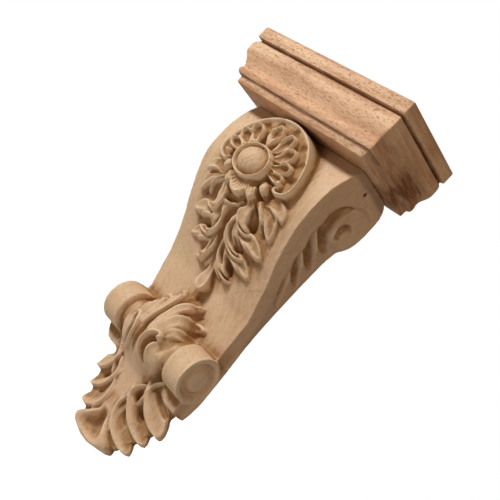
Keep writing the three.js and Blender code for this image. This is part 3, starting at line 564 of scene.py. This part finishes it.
# ---- Corbel body: the carved sides
# Each side has a plain raised band that follows the front and hooks round into a volute. Under the
# volute curved flutes run out at the back. The roll's end is sunk round a low button, and an empty
# brad hole sits near the top.
depth_line = np.arange(-71.6, 1.8, CUT)
band_rear = eased(BLOCK, 3, drop_line)[:, None]
half_at_front = eased(BLOCK, 2, drop_line)[:, None]
half_at_back = eased(BLOCK, 4, drop_line, 4.0)[:, None]
back_share = (depth_line[None, :] - band_rear) / np.maximum(-band_rear, 1)
back_share = np.clip(back_share, 0, 1)
side_x = half_at_front + (half_at_back - half_at_front) * back_share
side = Relief(depth_line, drop_line, -side_x)
# the volute's groove and the flutes under it: path, half width, depth, and where it is deepest
SIDE_CUTS = [
    ([(-24.5, 61.5), (-31.5, 68.6), (-34.4, 77.5), (-31, 85.5), (-23, 91.0), (-13, 93.4),
      (-5, 93.0)], 8.0, 8.0, 0.36),
    ([(-36.6, 83.5), (-34.8, 92.6), (-29.0, 100.0), (-20.5, 105.0), (-11, 107.4), (-5, 107.4)],
     6.4, 7.0, 0.42),
    ([(-31.6, 101.5), (-28.4, 110.2), (-21.0, 116.6), (-11.5, 121.0), (-4, 122.4)], 5.4, 6.0, 0.42),
    ([(-24.8, 118), (-20.8, 127.4), (-13.4, 136.2), (-5.4, 142.6)], 4.0, 3.6, 0.42),
]
for path, width, depth, peak in SIDE_CUTS:
    side.gouge(path, width, depth, start=0.12, end=0.08, peak=peak, power=0.6, steep=0.45)
# the volute's eye, the line round its top, and two slips of the gouge
side.gouge([(-10.5, 72.4), (-15.5, 72.8), (-18.4, 76.6), (-17.0, 81.0), (-12.6, 82.6)], 4.0, 5.4,
           start=0.15, end=0.2, peak=0.55, power=0.9)
side.gouge([(-26, 63), (-18.5, 58), (-9, 57.4), (-3.5, 60.5)], 1.5, 1.0, start=0.6, end=0.1,
           peak=0.3)
side.gouge([(-23, 71), (-22.5, 64.5), (-17, 61)], 0.6, 0.6, start=0.3, end=0.3)
side.gouge([(-20.5, 71.5), (-18.5, 66.5), (-13, 63.6)], 0.5, 0.5, start=0.3, end=0.3)
RECESS_RADIUS, BUTTON_RADIUS = 13.8, 10.4
recess_r = np.hypot(side.a - ROLL_Y - 0.4, side.d - ROLL_DROP)
button_r = np.hypot(side.a - ROLL_Y - 1.6, side.d - ROLL_DROP)
sunk_end = 3.8 * smooth_step((RECESS_RADIUS - recess_r) / 1.8)
sunk_end = sunk_end - 3.2 * smooth_step((BUTTON_RADIUS - button_r) / 3.6)
roll_x = ROLL_OUTER - sunk_end
roll_r = np.hypot(side.a - ROLL_Y, side.d - ROLL_DROP)
with_roll = np.minimum(side.depth, -roll_x)
side.depth = np.where(roll_r < ROLL_RADIUS + 0.4, with_roll, side.depth)
side.depth = np.where(recess_r < RECESS_RADIUS, -roll_x, side.depth)
# the brad hole, with a short crack up from it
BRAD_Y, BRAD_DROP = -27.6, 51.2
brad_r = np.hypot(side.a - BRAD_Y, side.d - BRAD_DROP)
side.depth += 2.6 * smooth_step((1.5 - brad_r) / 0.5)
side.gouge([(-28.4, 49.4), (-28.6, 46), (-27.8, 42.4)], 0.6, 0.7, start=0.3, end=0.6)
plane_wave = np.sin(side.a * 0.47 + 1.4 * np.sin(side.d * 0.12))
side.depth += 0.07 * plane_wave * np.sin(side.d * 0.43)
side.depth = soften(side.depth, 0.5 / CUT)
# the foot leaf is thinner than the block, and its outline is cut from the front alone
side.depth = np.where(side.d > 236.8, -80.0, side.depth)


# ---- Corbel body: the solid wood between the carved faces
# The faces, the flat back and the seat bound one solid. It is turned into a fine mesh, with its
# arrises eased by under half a millimetre, as sandpaper leaves them.
def wood_mesh(name, field, origin, faces_wanted):
    """A closed mesh of the surface where a field is zero, its inside positive."""
    inside = field > 0
    cells = [s - 1 for s in field.shape]
    vertex_sum, quads = [], []
    for axis in range(3):
        low = [slice(None)] * 3
        high = [slice(None)] * 3
        low[axis], high[axis] = slice(0, -1), slice(1, None)
        change = inside[tuple(low)] != inside[tuple(high)]
        edge = np.argwhere(change)
        f0 = field[tuple(low)][change]
        f1 = field[tuple(high)][change]
        place = edge.astype(np.float64)
        place[:, axis] += f0 / (f0 - f1)
        b, c = (axis + 1) % 3, (axis + 2) % 3
        whole = (edge[:, b] > 0) & (edge[:, b] < cells[b])
        whole = whole & (edge[:, c] > 0) & (edge[:, c] < cells[c])
        edge, place, leaving = edge[whole], place[whole], (f0 > 0)[whole]
        corners = []
        for db, dc in ((0, 0), (1, 0), (1, 1), (0, 1)):
            cell = edge.copy()
            cell[:, b] -= db
            cell[:, c] -= dc
            number = (cell[:, 0] * cells[1] + cell[:, 1]) * cells[2] + cell[:, 2]
            corners.append(number)
            vertex_sum.append((number, place))
        quad = np.stack(corners, 1)
        quad[~leaving] = quad[~leaving][:, ::-1]
        quads.append(quad)
    numbers = np.concatenate([n for n, _ in vertex_sum])
    places = np.concatenate([p for _, p in vertex_sum])
    quads = np.concatenate(quads)
    used, index = np.unique(numbers, return_inverse=True)
    count = np.bincount(index)
    points = np.stack([np.bincount(index, weights=places[:, k]) / count for k in range(3)], 1)
    points = points * CUT + np.array(origin)
    quads = np.searchsorted(used, quads)
    mesh = bpy.data.meshes.new(name)
    mesh.vertices.add(len(points))
    mesh.loops.add(len(quads) * 4)
    mesh.polygons.add(len(quads))
    real = np.stack([points[:, 0], points[:, 1], CAP_TOP - points[:, 2]], 1) * 0.001
    mesh.vertices.foreach_set("co", real.ravel())
    mesh.loops.foreach_set("vertex_index", quads[:, ::-1].ravel().astype(np.int32))
    mesh.polygons.foreach_set("loop_start", np.arange(0, len(quads) * 4, 4, dtype=np.int32))
    mesh.update(calc_edges=True)
    rough = bpy.data.objects.new(name + "_rough", mesh)
    bpy.context.scene.collection.objects.link(rough)
    thin = rough.modifiers.new("thin", "DECIMATE")
    thin.ratio = min(1.0, faces_wanted / (2.0 * len(quads)))
    bpy.context.view_layer.update()
    thinned = rough.evaluated_get(bpy.context.evaluated_depsgraph_get())
    finished = bpy.data.meshes.new_from_object(thinned)
    bpy.data.objects.remove(rough)
    finished.name = name
    return finished


BODY_FACES = 196000
field = np.empty((len(cross_line), len(depth_line), len(drop_line)), np.float32)
back_y = eased(BLOCK, 5, drop_line, 3.0)
right_x = -side.depth.T
left_x = right_x * left_share(drop_line)[None, :]
for k, x in enumerate(cross_line):
    limit = right_x if x > 0 else left_x
    ahead = depth_line[:, None] - front.depth[:, k][None, :]
    behind = back_y[None, :] - depth_line[:, None]
    layer = np.minimum(np.minimum(ahead, behind), limit - abs(x))
    layer = np.minimum(layer, (drop_line - SEAT_DROP)[None, :])
    field[k] = np.minimum(layer, (FOOT_DROP - drop_line)[None, :])
origin = (cross_line[0], depth_line[0], drop_line[0])
body_mesh = wood_mesh("corbel_body", field, origin, BODY_FACES)
body = bpy.data.objects.new("corbel_body", body_mesh)
bpy.context.scene.collection.objects.link(body)
body_mesh.polygons.foreach_set("use_smooth", [True] * len(body_mesh.polygons))


# ---- Corbel body: painted shade, painted highlight and marks
# Shade is painted into the hollows and beside the raised carving, and the crests are painted
# lighter as highlight. The brad hole, its crack and the scratch are dark.
def read_grid(values, across, at_across, at_drop):
    """A plan grid read between its places."""
    i = np.clip((at_across - across[0]) / CUT, 0, len(across) - 1.001)
    j = np.clip((at_drop - drop_line[0]) / CUT, 0, len(drop_line) - 1.001)
    i0, j0 = i.astype(int), j.astype(int)
    u, v = i - i0, j - j0
    top = values[j0, i0] * (1 - u) + values[j0, i0 + 1] * u
    low = values[j0 + 1, i0] * (1 - u) + values[j0 + 1, i0 + 1] * u
    return top * (1 - v) + low * v


def widest(values, reach):
    """The highest value of a grid within a reach of every place, in millimetres."""
    for axis in (0, 1):
        values = np.max(list(shifted(values, axis, int(round(reach / CUT)))), axis=0)
    return values


def hollow_and_crest(height, hollow_reach, crest_reach):
    """How far each place lies below the wood beside it, and how far thin rims stand up."""
    filled = -widest(-widest(height, hollow_reach), hollow_reach)
    planed = widest(-widest(-height, crest_reach), crest_reach)
    return soften(filled, 1.0 / CUT) - height, height - soften(planed, 1.0 / CUT)


co = np.empty(len(body_mesh.vertices) * 3)
body_mesh.vertices.foreach_get("co", co)
co = co.reshape(-1, 3) * 1000
co[:, 1] = np.minimum(co[:, 1], -0.002)  # the back stays just inside the wall plane
body_mesh.vertices.foreach_set("co", (co * 0.001).ravel())
at_x, at_y, at_drop = co[:, 0], co[:, 1], CAP_TOP - co[:, 2]


def at_front(values):
    """A grid of the front, read at every point of the mesh."""
    return read_grid(values, cross_line, at_x, at_drop)


def at_side(values):
    """A grid of the side, read at every point of the mesh."""
    return read_grid(values, depth_line, at_y, at_drop)


# painted shade from how far each place lies below the carving round it; painted highlight on crests
shown_front = np.minimum(front.depth, 0)
front_height = soften(shown_front, 14 / CUT) - shown_front
front_hollow, front_crest = hollow_and_crest(front_height, 5.5, 1.3)
# a painted shadow on the plain wood beside raised carving
beside = soften(widest(front_height, 2.6), 3.0 / CUT) - front_height
front_hollow = np.maximum(front_hollow, 0.5 * np.clip(beside - 0.5, 0, 6))
side_hollow, side_crest = hollow_and_crest(-np.maximum(side.depth, -60), 7.0, 1.6)
side_half = -at_side(side.depth)
on_side = (np.abs(at_x) > side_half - 0.9) & (at_drop < 237)
from_front = at_front(front_hollow / 4.0 - front_crest / 1.3)
from_side = at_side(side_hollow / 5.6 - side_crest / 1.4)
# the rolls' ends are painted paler, as light, and the rest of the sides a little darker; the right
# of the front is painted a little darker
in_roll = np.hypot(at_y - ROLL_Y, at_drop - ROLL_DROP) < ROLL_RADIUS + 1
from_side = np.where(in_roll, from_side * 0.5 - 0.6, from_side + 0.1)
right_front = smooth_step((at_x - 14) / 18) * smooth_step((at_drop - 60) / 30)
from_front = from_front + 0.26 * right_front * smooth_step((205 - at_drop) / 50)
# the rosette's hollows take a deeper painted shade
in_rosette = np.hypot(at_x - FAN_X, at_drop - ROSETTE_DROP) < RIM_RADIUS - 1.5
from_front = np.where(in_rosette & (from_front > 0.1), from_front * 1.25, from_front)
# painted shade where positive and painted highlight where negative, kept off the flat back
shade_and_highlight = np.where(on_side, from_side, from_front) * (at_y < -0.6)
CRACK_Y, CRACK_LEAN = -28.0, 0.12
on_right, over_brad = at_x > 50, at_drop < BRAD_DROP
marks = smooth_step((1.7 - np.hypot(at_y - BRAD_Y, at_drop - BRAD_DROP)) / 0.5) * on_right
crack = np.abs(at_y - CRACK_Y - CRACK_LEAN * (BRAD_DROP - at_drop))
marks = np.maximum(marks, 0.3 * smooth_step((0.5 - crack) / 0.4) * on_right * over_brad)
marks = np.maximum(marks, scratched(at_x, at_drop, 0.22))
for name, values in (("marks", marks), ("shade_and_highlight", np.clip(shade_and_highlight, -1, 1))):
    mask = body_mesh.attributes.new(name, "FLOAT", "POINT")
    mask.data.foreach_set("value", values.astype(np.float32))

# the broad plain faces take their shading from the carved form, so that no facet shows on them
own = np.empty(len(body_mesh.vertices) * 3)
body_mesh.vertex_normals.foreach_get("vector", own)
own = own.reshape(-1, 3)
front_soft, side_soft = soften(front.depth, 0.6 / CUT), soften(side.depth, 1.0 / CUT)
slope_drop, slope_x = np.gradient(front_soft, CUT)
rise_drop, rise_y = np.gradient(side_soft, CUT)


def facing(x, y, z):
    vectors = np.stack([x, y, z], 1)
    return vectors / np.linalg.norm(vectors, axis=1, keepdims=True)


by_front = facing(at_front(slope_x), -np.ones(len(co)), -at_front(slope_drop))
by_side = facing(np.sign(at_x), at_side(rise_y), -at_side(rise_drop))
gap_front = np.abs(at_y - at_front(front.depth))
gap_side = np.abs(np.abs(at_x) - side_half)
ALIKE = 0.86  # how nearly the two ways of shading have to agree
use_front = (gap_front < 0.5) & (gap_side >= 1.2) & (at_y < -3)
use_front = use_front & ((own * by_front).sum(1) > ALIKE)
use_side = on_side & (gap_side < 0.4) & (gap_front > 1.0) & (at_y < -1.5)
use_side = use_side & ((own * by_side).sum(1) > ALIKE)
shading = np.where(use_side[:, None], by_side, own)
shading = np.where(use_front[:, None], by_front, shading)
shading[at_y > -0.05] = (0.0, 1.0, 0.0)
body_mesh.normals_split_custom_set_from_vertices(shading.tolist())


# ---- Corbel body: bare carved wood
# The wood is unfinished, pale tan with a fine straight grain along the height. The hollows are
# painted a warmer brown as shade, and the crests are painted lighter as highlight.
def wood_grain_group():
    """Grain, pores, pinker patches, marks, painted shade and highlight, for any block of this wood.
    """
    group = bpy.data.node_groups.new("bare_wood_grain", "ShaderNodeTree")
    sockets = {
        "INPUT": {"Vector": ("Place", "Fibre Place"),
                  "Float": ("Fineness", "Pores", "Bands", "Shade_And_Highlight", "Marks"),
                  "Color": ("Pale", "Deep", "Blush", "Pore", "Painted Shade", "Painted Highlight")},
        "OUTPUT": {"Color": ("Color",), "Float": ("Roughness", "Height")},
    }
    for way, kinds in sockets.items():
        for kind, names in kinds.items():
            for name in names:
                group.interface.new_socket(name, in_out=way, socket_type="NodeSocket" + kind)
    nodes, links = group.nodes, group.links
    start = nodes.new("NodeGroupInput")
    end = nodes.new("NodeGroupOutput")

    def noise(scale, detail, vector, roughness=0.5):
        node = nodes.new("ShaderNodeTexNoise")
        node.inputs["Scale"].default_value = scale
        node.inputs["Detail"].default_value = detail
        node.inputs["Roughness"].default_value = roughness
        links.new(vector, node.inputs["Vector"])
        return node.outputs["Fac"]

    def remap(value, low, high, to_low=0.0, to_high=1.0):
        node = nodes.new("ShaderNodeMapRange")
        ends = {"From Min": low, "From Max": high, "To Min": to_low, "To Max": to_high}
        for end_name, number in ends.items():
            node.inputs[end_name].default_value = number
        links.new(value, node.inputs["Value"])
        return node.outputs["Result"]

    def math_node(operation, a, b):
        node = nodes.new("ShaderNodeMath")
        node.operation = operation
        for number, value in enumerate((a, b)):
            if isinstance(value, float):
                node.inputs[number].default_value = value
            else:
                links.new(value, node.inputs[number])
        return node.outputs[0]

    def mix(factor, a, b):
        node = nodes.new("ShaderNodeMix")
        node.data_type = "RGBA"
        links.new(factor, node.inputs["Factor"])
        links.new(a, node.inputs["A"])
        links.new(b, node.inputs["B"])
        return node.outputs["Result"]

    def scaled(place_name):
        node = nodes.new("ShaderNodeVectorMath")
        node.operation = "SCALE"
        links.new(start.outputs[place_name], node.inputs[0])
        links.new(start.outputs["Fineness"], node.inputs["Scale"])
        return node.outputs[0]

    # the first number of each noise is about how many of its spots fit in a metre
    place, fibre_place = scaled("Place"), scaled("Fibre Place")
    fibre = noise(900, 3, fibre_place, 0.6)
    bands = noise(95, 2.5, place, 0.55)
    pores = noise(1500, 1.5, fibre_place, 0.4)
    streaks = remap(noise(330, 2, place, 0.5), 0.36, 0.64, 0.7, 1.28)
    shade_and_highlight = math_node("MULTIPLY", start.outputs["Shade_And_Highlight"], streaks)
    fibre_tone = remap(fibre, 0.35, 0.68)
    band_tone = remap(bands, 0.38, 0.64)
    blend = math_node("ADD", math_node("MULTIPLY", fibre_tone, 0.38),
                      math_node("MULTIPLY", band_tone, start.outputs["Bands"]))
    tone = mix(blend, start.outputs["Pale"], start.outputs["Deep"])
    pore_mask = remap(pores, 0.61, 0.68)
    pore_strength = math_node("MULTIPLY", pore_mask, start.outputs["Pores"])
    tone = mix(pore_strength, tone, start.outputs["Pore"])
    patches = remap(noise(26, 1.5, start.outputs["Place"], 0.4), 0.4, 0.62, 0.0, 0.42)
    tone = mix(patches, tone, start.outputs["Blush"])
    # painted highlight on the crests
    crest = remap(shade_and_highlight, -0.8, -0.1, 0.5, 0.0)
    tone = mix(crest, tone, start.outputs["Painted Highlight"])
    # painted shade in the hollows
    painted_shade_mask = remap(shade_and_highlight, 0.1, 0.85, 0.0, 0.9)
    tone = mix(painted_shade_mask, tone, start.outputs["Painted Shade"])
    tone = mix(start.outputs["Marks"], tone, start.outputs["Pore"])
    links.new(tone, end.inputs["Color"])
    rough = remap(fibre, 0.3, 0.7, 0.56, 0.7)
    links.new(rough, end.inputs["Roughness"])
    raised, sunk_pores = math_node("MULTIPLY", fibre, 0.6), math_node("MULTIPLY", pore_mask, 0.8)
    height = math_node("SUBTRACT", raised, sunk_pores)
    links.new(height, end.inputs["Height"])
    return group


bare_wood_grain = wood_grain_group()


def wood_material(name, along, fibre_along, fineness, pores, bands, bump, tones):
    """Bare wood, with the stretch of its bands and of its fibres given for each axis."""
    material = bpy.data.materials.new(name)
    material.use_nodes = True
    nodes, links = material.node_tree.nodes, material.node_tree.links
    shader = nodes["Principled BSDF"]
    shader.inputs["Specular IOR Level"].default_value = 0.35
    where = nodes.new("ShaderNodeTexCoord")
    grain = nodes.new("ShaderNodeGroup")
    grain.node_tree = bare_wood_grain
    for socket, stretch in (("Place", along), ("Fibre Place", fibre_along)):
        stretch_node = nodes.new("ShaderNodeMapping")
        stretch_node.inputs["Scale"].default_value = stretch
        links.new(where.outputs["Object"], stretch_node.inputs["Vector"])
        links.new(stretch_node.outputs["Vector"], grain.inputs[socket])
    grain.inputs["Fineness"].default_value = fineness
    grain.inputs["Pores"].default_value = pores
    grain.inputs["Bands"].default_value = bands
    for tone, colour in tones.items():
        grain.inputs[tone].default_value = (*colour, 1)
    for mask in ("Shade_And_Highlight", "Marks"):
        painted = nodes.new("ShaderNodeAttribute")
        painted.attribute_name = mask.lower()
        links.new(painted.outputs["Fac"], grain.inputs[mask])
    links.new(grain.outputs["Color"], shader.inputs["Base Color"])
    links.new(grain.outputs["Roughness"], shader.inputs["Roughness"])
    bump_node = nodes.new("ShaderNodeBump")
    bump_node.inputs["Strength"].default_value = bump
    bump_node.inputs["Distance"].default_value = 0.0003
    links.new(grain.outputs["Height"], bump_node.inputs["Height"])
    links.new(bump_node.outputs["Normal"], shader.inputs["Normal"])
    return material


# the hollow tone is painted shade and the crest tone a painted highlight
body_wood = wood_material(
    "bare_body_wood", along=(1.0, 1.0, 0.07), fibre_along=(1.0, 1.0, 0.07), fineness=1.0,
    pores=0.36, bands=0.28, bump=0.5,
    tones={"Pale": (0.675, 0.46, 0.272), "Deep": (0.515, 0.31, 0.16), "Blush": (0.61, 0.36, 0.23),
           "Pore": (0.1, 0.045, 0.02), "Painted Shade": (0.3, 0.135, 0.035), "Painted Highlight": (0.8, 0.6, 0.4)},
)
body_mesh.materials.clear()
body_mesh.materials.append(body_wood)
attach(body, "root")
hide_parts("body")


# ---- Cap block
# The cap is a second block of the same wood, pinker and with its grain across the width. Its
# moulding is run on the front and both ends, mitred at the corners: slab, groove, ovolo, cove, bead
# and fillet. A corner has chipped. Shade is painted into the groove, the quirk and the lower
# members, and low on the right end, which also has a darker patch towards its back.
CAP_HALF, CAP_DEEP, CAP_HIGH = 75.0, 74.0, 43.0
CORNER = 0.7
# the moulding from the top down: drop, and how far it lies inside the slab's face
CAP_ARRISES = [
    (0.0, 1.4), (0.25, 0.6), (0.8, 0.15), (1.5, 0.0), (5.0, 0.0), (9.0, 0.0), (9.5, 0.2),
    (9.75, 0.9), (9.9, 2.4), (10.3, 3.0), (11.2, 2.95), (11.55, 2.5), (12.1, 1.7), (12.9, 1.2),
    (14.0, 0.75), (15.4, 0.42), (17.0, 0.3), (18.8, 0.3), (20.4, 0.36), (21.8, 0.6), (23.2, 1.15),
    (24.6, 1.95), (26.0, 2.85), (27.4, 3.7), (28.8, 4.4), (30.2, 4.8), (31.4, 4.95), (32.2, 4.9),
    (32.6, 4.55), (33.2, 4.25), (34.2, 4.1), (35.3, 4.1), (36.3, 4.35), (37.1, 4.8), (37.6, 5.5),
    (37.9, 6.7), (38.3, 7.35), (38.8, 7.45), (40.5, 7.6), (42.2, 7.75), (42.7, 7.95), (43.0, 8.5),
]
GROOVE_DROP, QUIRK_DROP = 10.8, 37.7
CHIP_X, CHIP_Y, DARK_PATCH_Y = 67.5, -66.5, -18


def mitred_outline(inset):
    """Plan outline of the cap at one inset: back left, round the front, to the back right."""
    x, y = CAP_HALF - inset, CAP_DEEP - inset
    ends = np.linspace(0, 1, 24)[:-1] * (1 - CORNER / y)

    def turned(middle, first):
        turn = np.linspace(first * math.pi, (first + 0.5) * math.pi, 5)
        return [(middle + CORNER * math.cos(a), -y + CORNER + CORNER * math.sin(a)) for a in turn]

    front_run = [(s * (x - CORNER), -y) for s in np.linspace(-1, 1, 64)[1:-1]]
    points = [(-x, -y * s) for s in ends] + turned(-x + CORNER, 1) + front_run
    return points + turned(x - CORNER, 1.5) + [(x, -y * s) for s in ends[::-1]]


def ramp(value):
    return max(0.0, min(1.0, value))


def cap_place(x, y, drop, inset):
    """Where one point of the moulding really lies, uneven from sanding and chipped at a corner."""
    uneven = 0.12 * math.sin(x * 0.07 + drop) + 0.08 * math.sin(x * 0.19 + y * 0.11 + drop * 0.7)
    push = uneven if inset > 2 else uneven * 0.4
    across, ahead = x / CAP_HALF, y / CAP_DEEP
    chip = math.hypot((x - CHIP_X) / 4.5, (y - CHIP_Y) / 4.0, (drop - CAP_HIGH) / 3.2)
    x, y = x - push * across * (abs(across) > 0.85), y + push * (ahead < -0.8)
    if chip < 1:
        x, y = x - 1.7 * (1 - chip), y + 1.7 * (1 - chip)
    return max(-CAP_HALF, min(CAP_HALF, x)), max(-CAP_DEEP, min(0, y)), CAP_TOP - drop


def cap_shade_and_patch(x, y, drop, inset):
    """Painted shade in the groove, quirk, lower members and low on the right end; a dark patch
    there.
    """
    groove = ramp(1.25 - abs(drop - GROOVE_DROP) / 1.3)
    quirk = 0.9 * max(0.0, 1 - abs(drop - QUIRK_DROP) / 0.7)
    # painted shade low on the right end, and a darker patch towards its back
    end_shade_and_patch = 0.36 * ramp((drop - 16) / 8)
    end_shade_and_patch += 0.42 * math.exp(-((y - DARK_PATCH_Y) / 15) ** 2) * ramp((drop - 22) / 3)
    on_end = x > CAP_HALF - 1 - inset
    return max(groove, quirk, 0.24 * ramp((drop - 31.5) / 2), end_shade_and_patch * on_end)


rings = [mitred_outline(inset) for _, inset in CAP_ARRISES]
ring_size = len(rings[0])
cap_points, cap_shade_and_patch_values = [], []
for (drop, inset), ring in zip(CAP_ARRISES, rings):
    cap_points += [cap_place(x, y, drop, inset) for x, y in ring]
    cap_shade_and_patch_values += [cap_shade_and_patch(x, y, drop, inset) for x, y in ring]
cap_faces = []
for r in range(len(rings) - 1):
    for k in range(ring_size):
        a, b = r * ring_size + k, r * ring_size + (k + 1) % ring_size
        cap_faces.append((a, a + ring_size, b + ring_size, b))
cap_faces.append(tuple(range(ring_size)))
base = (len(rings) - 1) * ring_size
cap_faces.append(tuple(base + k for k in reversed(range(ring_size))))
cap_mesh = bpy.data.meshes.new("cap_block")
cap_mesh.from_pydata([tuple(c * 0.001 for c in p) for p in cap_points], [], cap_faces)
cap_mesh.validate()
# the cap's painted shade goes into the same mask as the body's
cap_mesh.attributes.new("shade_and_highlight", "FLOAT", "POINT").data.foreach_set("value", cap_shade_and_patch_values)
cap_mesh.attributes.new("marks", "FLOAT", "POINT")
cap_mesh.polygons.foreach_set("use_smooth", [True] * len(cap_mesh.polygons))
cap_mesh.set_sharp_from_angle(angle=math.radians(32))
cap = bpy.data.objects.new("cap_block", cap_mesh)
bpy.context.scene.collection.objects.link(cap)
# the hollow tone is the colour of the painted shade
cap_wood = wood_material(
    "bare_cap_wood", along=(0.1, 0.13, 1.0), fibre_along=(0.1, 1.0, 1.0), fineness=1.9,
    pores=1.0, bands=0.64, bump=0.7,
    tones={"Pale": (0.84, 0.57, 0.34), "Deep": (0.46, 0.23, 0.11), "Blush": (0.66, 0.3, 0.15),
           "Pore": (0.11, 0.045, 0.02), "Painted Shade": (0.17, 0.05, 0.008), "Painted Highlight": (0.7, 0.46, 0.28)},
)
cap_mesh.materials.append(cap_wood)
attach(cap, "root")
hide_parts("cap")


# ---- Studio: pale floor, soft light, camera
# The corbel hangs clear of a white table top, with white all round. A large soft lamp stands ahead
# and to the left, and a weaker, warmer one at the right. The camera looks from its right and a
# little below, and is tilted over.
TABLE_HALF, TABLE_Z = 6, -0.5
ways = ((-1, -1), (1, -1), (1, 1), (-1, 1))
table_corners = [(TABLE_HALF * a, TABLE_HALF * b, TABLE_Z) for a, b in ways]
floor_mesh = bpy.data.meshes.new("table_top")
floor_mesh.from_pydata(table_corners, [], [(0, 1, 2, 3)])
table_top = bpy.data.objects.new("table_top", floor_mesh)
bpy.context.scene.collection.objects.link(table_top)
paper = bpy.data.materials.new("white_paper")
paper.use_nodes = True
paper_shader = paper.node_tree.nodes["Principled BSDF"]
paper_shader.inputs["Base Color"].default_value = (0.93, 0.93, 0.93, 1)
paper_shader.inputs["Roughness"].default_value = 0.8
paper_shader.inputs["Emission Color"].default_value = (1, 1, 1, 1)
paper_ray = paper.node_tree.nodes.new("ShaderNodeLightPath").outputs["Is Camera Ray"]
paper.node_tree.links.new(paper_ray, paper_shader.inputs["Emission Strength"])
floor_mesh.materials.append(paper)

bpy.context.scene.view_settings.view_transform = "Standard"
world = bpy.context.scene.world or bpy.data.worlds.new("white_room")
bpy.context.scene.world = world
world.use_nodes = True
sky = world.node_tree
backdrop = sky.nodes["Background"]
ray = sky.nodes.new("ShaderNodeLightPath")
seen = sky.nodes.new("ShaderNodeMapRange")
seen.inputs["To Min"].default_value = 0.1  # how strongly the room lights the wood
seen.inputs["To Max"].default_value = 1.0  # how bright the room looks
sky.links.new(ray.outputs["Is Camera Ray"], seen.inputs["Value"])
sky.links.new(seen.outputs["Result"], backdrop.inputs["Strength"])
tint = sky.nodes.new("ShaderNodeMix")
tint.data_type = "RGBA"
tint.inputs["A"].default_value = (1.0, 0.85, 0.67, 1)
tint.inputs["B"].default_value = (1, 1, 1, 1)
sky.links.new(ray.outputs["Is Camera Ray"], tint.inputs["Factor"])
sky.links.new(tint.outputs["Result"], backdrop.inputs["Color"])

# the camera, as fitted to the straight edges in the photograph
PHOTO_WIDTH, FOCAL_PIXELS, SENSOR = 500, 861.6, 36
camera_right = Vector((0.5611, 0.4697, 0.6816))
camera_down = Vector((0.4699, 0.4971, -0.7294))
camera_ahead = Vector((-0.6814, 0.7296, 0.0583))
camera_place = Vector((0.4028709, -0.4420019, -0.0378361))


LAMP_AIM = Vector((0, -0.03, -0.02))


def lamp(name, direction, distance, size, power, colour):
    data = bpy.data.lights.new(name, "AREA")
    data.shape = "DISK"
    data.size = size
    data.energy = power
    data.color = colour
    holder = bpy.data.objects.new(name, data)
    direction = Vector(direction).normalized()
    holder.location = LAMP_AIM + direction * distance
    holder.rotation_euler = direction.to_track_quat("Z", "Y").to_euler()
    bpy.context.scene.collection.objects.link(holder)


lamp("main_lamp", (-0.42, -0.78, 0.50), 1.6, 0.3, 24.2, (0.94, 0.985, 1.02))
lamp("side_lamp", (0.74, -0.44, 0.50), 1.8, 0.36, 6.4, (1.0, 0.86, 0.7))

camera_data = bpy.data.cameras.new("camera")
camera_data.sensor_width = SENSOR
camera_data.lens = FOCAL_PIXELS / PHOTO_WIDTH * SENSOR
camera = bpy.data.objects.new("camera", camera_data)
axes = Matrix((camera_right, -camera_down, -camera_ahead)).transposed().to_4x4()
camera.matrix_world = Matrix.Translation(camera_place) @ axes
bpy.context.scene.collection.objects.link(camera)
bpy.context.scene.camera = camera
